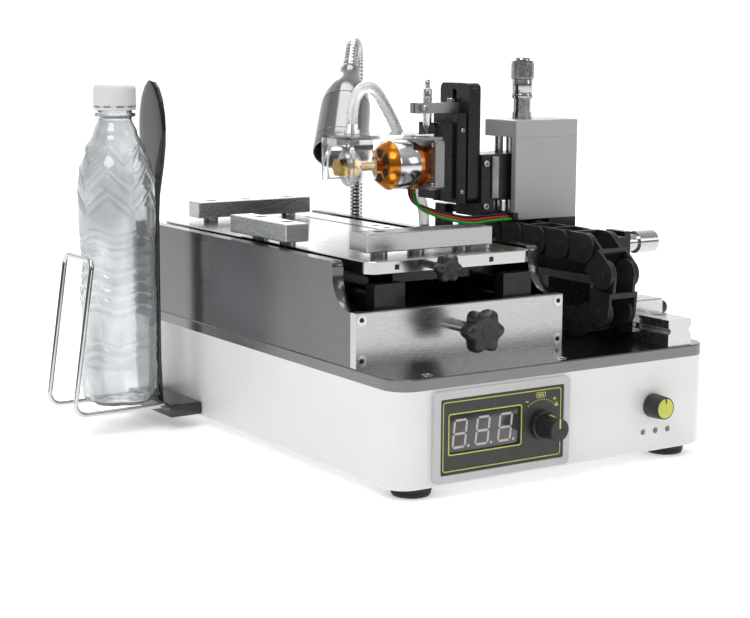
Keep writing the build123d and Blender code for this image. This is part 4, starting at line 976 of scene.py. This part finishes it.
def make_bottle_detail():
    steps = 220
    heights = [0.0, 0.6, 1.4, 2.2]
    h = 3.0
    while h < 156:
        heights.append(h)
        h += 0.75
    neck = [(9.2, 157.5), (9.2, 159.2), (11.2, 159.6), (11.2, 161.2), (9.4, 161.6), (9.4, 171.5)]
    bm = bmesh.new()
    wall = 0.42
    rings = []
    for side in (0, 1):
        order = heights if side == 0 else heights[::-1]
        profile = [("body", h) for h in order]
        if side == 0:
            profile += [("neck", p) for p in neck]
        else:
            profile = [("neck", (8.6, 171.5)), ("neck", (8.6, 158.0))] + profile
        for kind, value in profile:
            ring = []
            for k in range(steps):
                a = 2 * math.pi * k / steps
                if kind == "neck":
                    r, hh = value
                else:
                    hh = value
                    r = bottle_radius(a, hh) - (wall if side else 0)
                    if side:
                        hh += 0.9 * max(0.0, 1 - value / 3)
                ring.append(bm.verts.new((BOTTLE_X + r * math.cos(a), BOTTLE_Y + r * math.sin(a),
                                          BOTTLE_Z + hh)))
            rings.append(ring)
    for low, high in zip(rings, rings[1:]):
        for k in range(steps):
            j = (k + 1) % steps
            bm.faces.new((low[k], low[j], high[j], high[k]))
    # base: a raised centre, outside and inside
    for ring in (rings[0], rings[-1]):
        previous = ring
        for scale, up in ((0.75, 0.2), (0.5, 1.4), (0.25, 2.2)):
            new = []
            for k in range(steps):
                co = ring[k].co
                new.append(bm.verts.new((BOTTLE_X + (co.x - BOTTLE_X) * scale,
                                         BOTTLE_Y + (co.y - BOTTLE_Y) * scale, co.z + up)))
            for k in range(steps):
                j = (k + 1) % steps
                bm.faces.new((previous[j], previous[k], new[k], new[j]))
            previous = new
        bm.faces.new(previous)
    bottle = piece("bottle_shell", bm, "water_bottle", BOTTLE, sharp=80)
    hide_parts("bottle")

    # cap with fine upright ribs and a slit tamper band
    profile = [(10.4, 163.0), (11.3, 163.05), (11.5, 163.3), (11.5, 164.6), (11.2, 164.8), (11.2, 165.1)]
    profile += [(11.35, 165.3)]
    profile += [(11.35, 165.35 + 1.05 * k) for k in range(10)]
    profile += [(11.3, 175.4), (10.9, 176.4), (10.2, 176.9), (6.0, 177.0), (0.02, 177.0)]
    cap = lathe_piece("cap_shell", [(r, h + BOTTLE_Z) for r, h in profile], (0, 0, 1),
                      (BOTTLE_X, BOTTLE_Y, 0), "water_cap", CAP, 288,
                      knurl(72, 0.24, [(165.33 + BOTTLE_Z, 175.0 + BOTTLE_Z)]), sharp=60)
    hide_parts("bottle_cap")
    bm = bmesh.new()
    for k in range(10):
        a0 = 2 * math.pi * k / 10
        for n in range(5):
            a = a0 + 0.07 * n
            x, y = BOTTLE_X + 11.24 * math.cos(a), BOTTLE_Y + 11.24 * math.sin(a)
            block(bm, x - 0.45, x + 0.45, y - 0.45, y + 0.45, BOTTLE_Z + 164.8, BOTTLE_Z + 165.1, 0.0)
    piece("cap_slits", bm, "water_cap", SEAM, smooth=False)


def make_cage_detail():
    """The moulded back: a crowned paddle that narrows into a stem, on a foot bar."""
    rows = []
    # (z, half width along y)
    outline = [(1.5, 10.0), (8.0, 8.0), (30.0, 6.0), (80.0, 5.8), (112.0, 6.2), (124.0, 7.6), (133.0, 10.6),
               (142.0, 13.6), (152.0, 15.9), (161.0, 16.5), (170.0, 15.6), (178.0, 12.9), (184.0, 8.6),
               (187.2, 4.0), (188.0, 0.6)]
    fine = []
    for (z0, w0), (z1, w1) in zip(outline, outline[1:]):
        for k in range(4):
            t = k / 4
            fine.append((z0 + (z1 - z0) * t, w0 + (w1 - w0) * t))
    fine.append(outline[-1])
    bm = bmesh.new()
    steps, crown, middle_y = 32, 1.5, 228
    for z, w in fine:
        ring = []
        for k in range(steps):
            a = 2 * math.pi * k / steps
            c, s = math.cos(a), math.sin(a)
            y = middle_y + w * math.copysign(abs(c) ** 0.7, c)
            x = -13.0 + crown * math.copysign(abs(s) ** 0.7, s)
            ring.append(bm.verts.new((x, y, z)))
        rows.append(ring)
    for low, high in zip(rows, rows[1:]):
        for k in range(steps):
            j = (k + 1) % steps
            bm.faces.new((low[k], low[j], high[j], high[k]))
    bm.faces.new(rows[0][::-1])
    bm.faces.new(rows[-1])
    block(bm, -20.0, 0.0, 196.0, 252.0, 1.5, 8.9, 1.2, 3)
    back = piece("cage_paddle", bm, "base", GLOSS_BLACK, sharp=50)
    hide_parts("cage_back")


make_bottle_detail()
make_cage_detail()

soften(0.35, "rear_clamp_bar", "tower_column", "tower_cap", "gantry_saddle", "x_base",
       "x_slide", "z_slide", "z_plate", "pin_arm", "motor_mount", "rail_stop", "saddle_carriages")
soften(0.25, "panel_bezel", "trough_walls", "gantry_rail")
soften(0.3, "chain_bend", "chain_run", "chain_anchor")


# ---- floor, light ------------------------------------------------------------------------------
def make_stage():
    bm = bmesh.new()
    reach, wall, rise, bend = 3.0, 1.6, 2.6, 0.6
    profile = [(-reach, 0.0), (wall - bend, 0.0)]
    for k in range(1, 13):
        a = math.pi / 2 * k / 12
        profile.append((wall - bend + bend * math.sin(a), bend - bend * math.cos(a)))
    profile.append((wall, rise))
    rows = []
    turn = Matrix.Rotation(math.radians(-33.0), 3, "Z")
    for y, z in profile:
        rows.append([bm.verts.new(turn @ Vector((x, y, z))) for x in (-4.0, 4.0)])
    for low, high in zip(rows, rows[1:]):
        bm.faces.new((low[0], low[1], high[1], high[0]))
    for face in bm.faces:
        face.smooth = True
    mesh = bpy.data.meshes.new("studio_floor")
    bm.to_mesh(mesh)
    bm.free()
    paper = material("studio_paper", (0.92, 0.92, 0.92), 0.0, 0.6, 0.01, 3, bump=0.0)
    surface = paper.node_tree.nodes["Principled BSDF"]
    surface.inputs["Emission Color"].default_value = (1.0, 1.0, 1.0, 1.0)
    surface.inputs["Emission Strength"].default_value = 0.35
    mesh.materials.append(paper)
    floor = bpy.data.objects.new("studio_floor", mesh)
    bpy.context.scene.collection.objects.link(floor)


def area_light(name, position, target, size, power, size_y=None):
    data = bpy.data.lights.new(name, "AREA")
    data.shape = "RECTANGLE"
    data.size, data.size_y = size, size_y or size
    data.energy = power
    light = bpy.data.objects.new(name, data)
    bpy.context.scene.collection.objects.link(light)
    light.location = position
    light.rotation_euler = (Vector(target) - Vector(position)).to_track_quat("-Z", "Y").to_euler()


def make_light():
    """A soft studio: bright overhead, dim at the horizon, with a few large area lights."""
    world = bpy.data.worlds.new("studio")
    bpy.context.scene.world = world
    world.use_nodes = True
    tree = world.node_tree
    place = tree.nodes.new("ShaderNodeTexCoord")
    split = tree.nodes.new("ShaderNodeSeparateXYZ")
    ramp = tree.nodes.new("ShaderNodeValToRGB")
    ramp.color_ramp.elements[0].position, ramp.color_ramp.elements[1].position = 0.0, 0.85
    ramp.color_ramp.elements[0].color = (0.16, 0.16, 0.16, 1.0)
    ramp.color_ramp.elements[1].color = (1.0, 1.0, 1.0, 1.0)
    tree.links.new(place.outputs["Generated"], split.inputs["Vector"])
    tree.links.new(split.outputs["Z"], ramp.inputs["Fac"])
    tree.links.new(ramp.outputs["Color"], tree.nodes["Background"].inputs["Color"])
    tree.nodes["Background"].inputs["Strength"].default_value = 0.62
    middle = (0.0, 0.0, 0.1)
    area_light("key", (-0.9, -0.5, 1.1), middle, 0.6, 6)
    area_light("top", (0.1, 0.1, 1.4), middle, 0.9, 7)
    area_light("fill", (0.9, -1.1, 0.6), middle, 0.5, 1.8)
    area_light("rim", (0.5, 1.0, 0.7), middle, 0.6, 4)


make_stage()
make_light()
bpy.context.scene.view_settings.view_transform = "Standard"
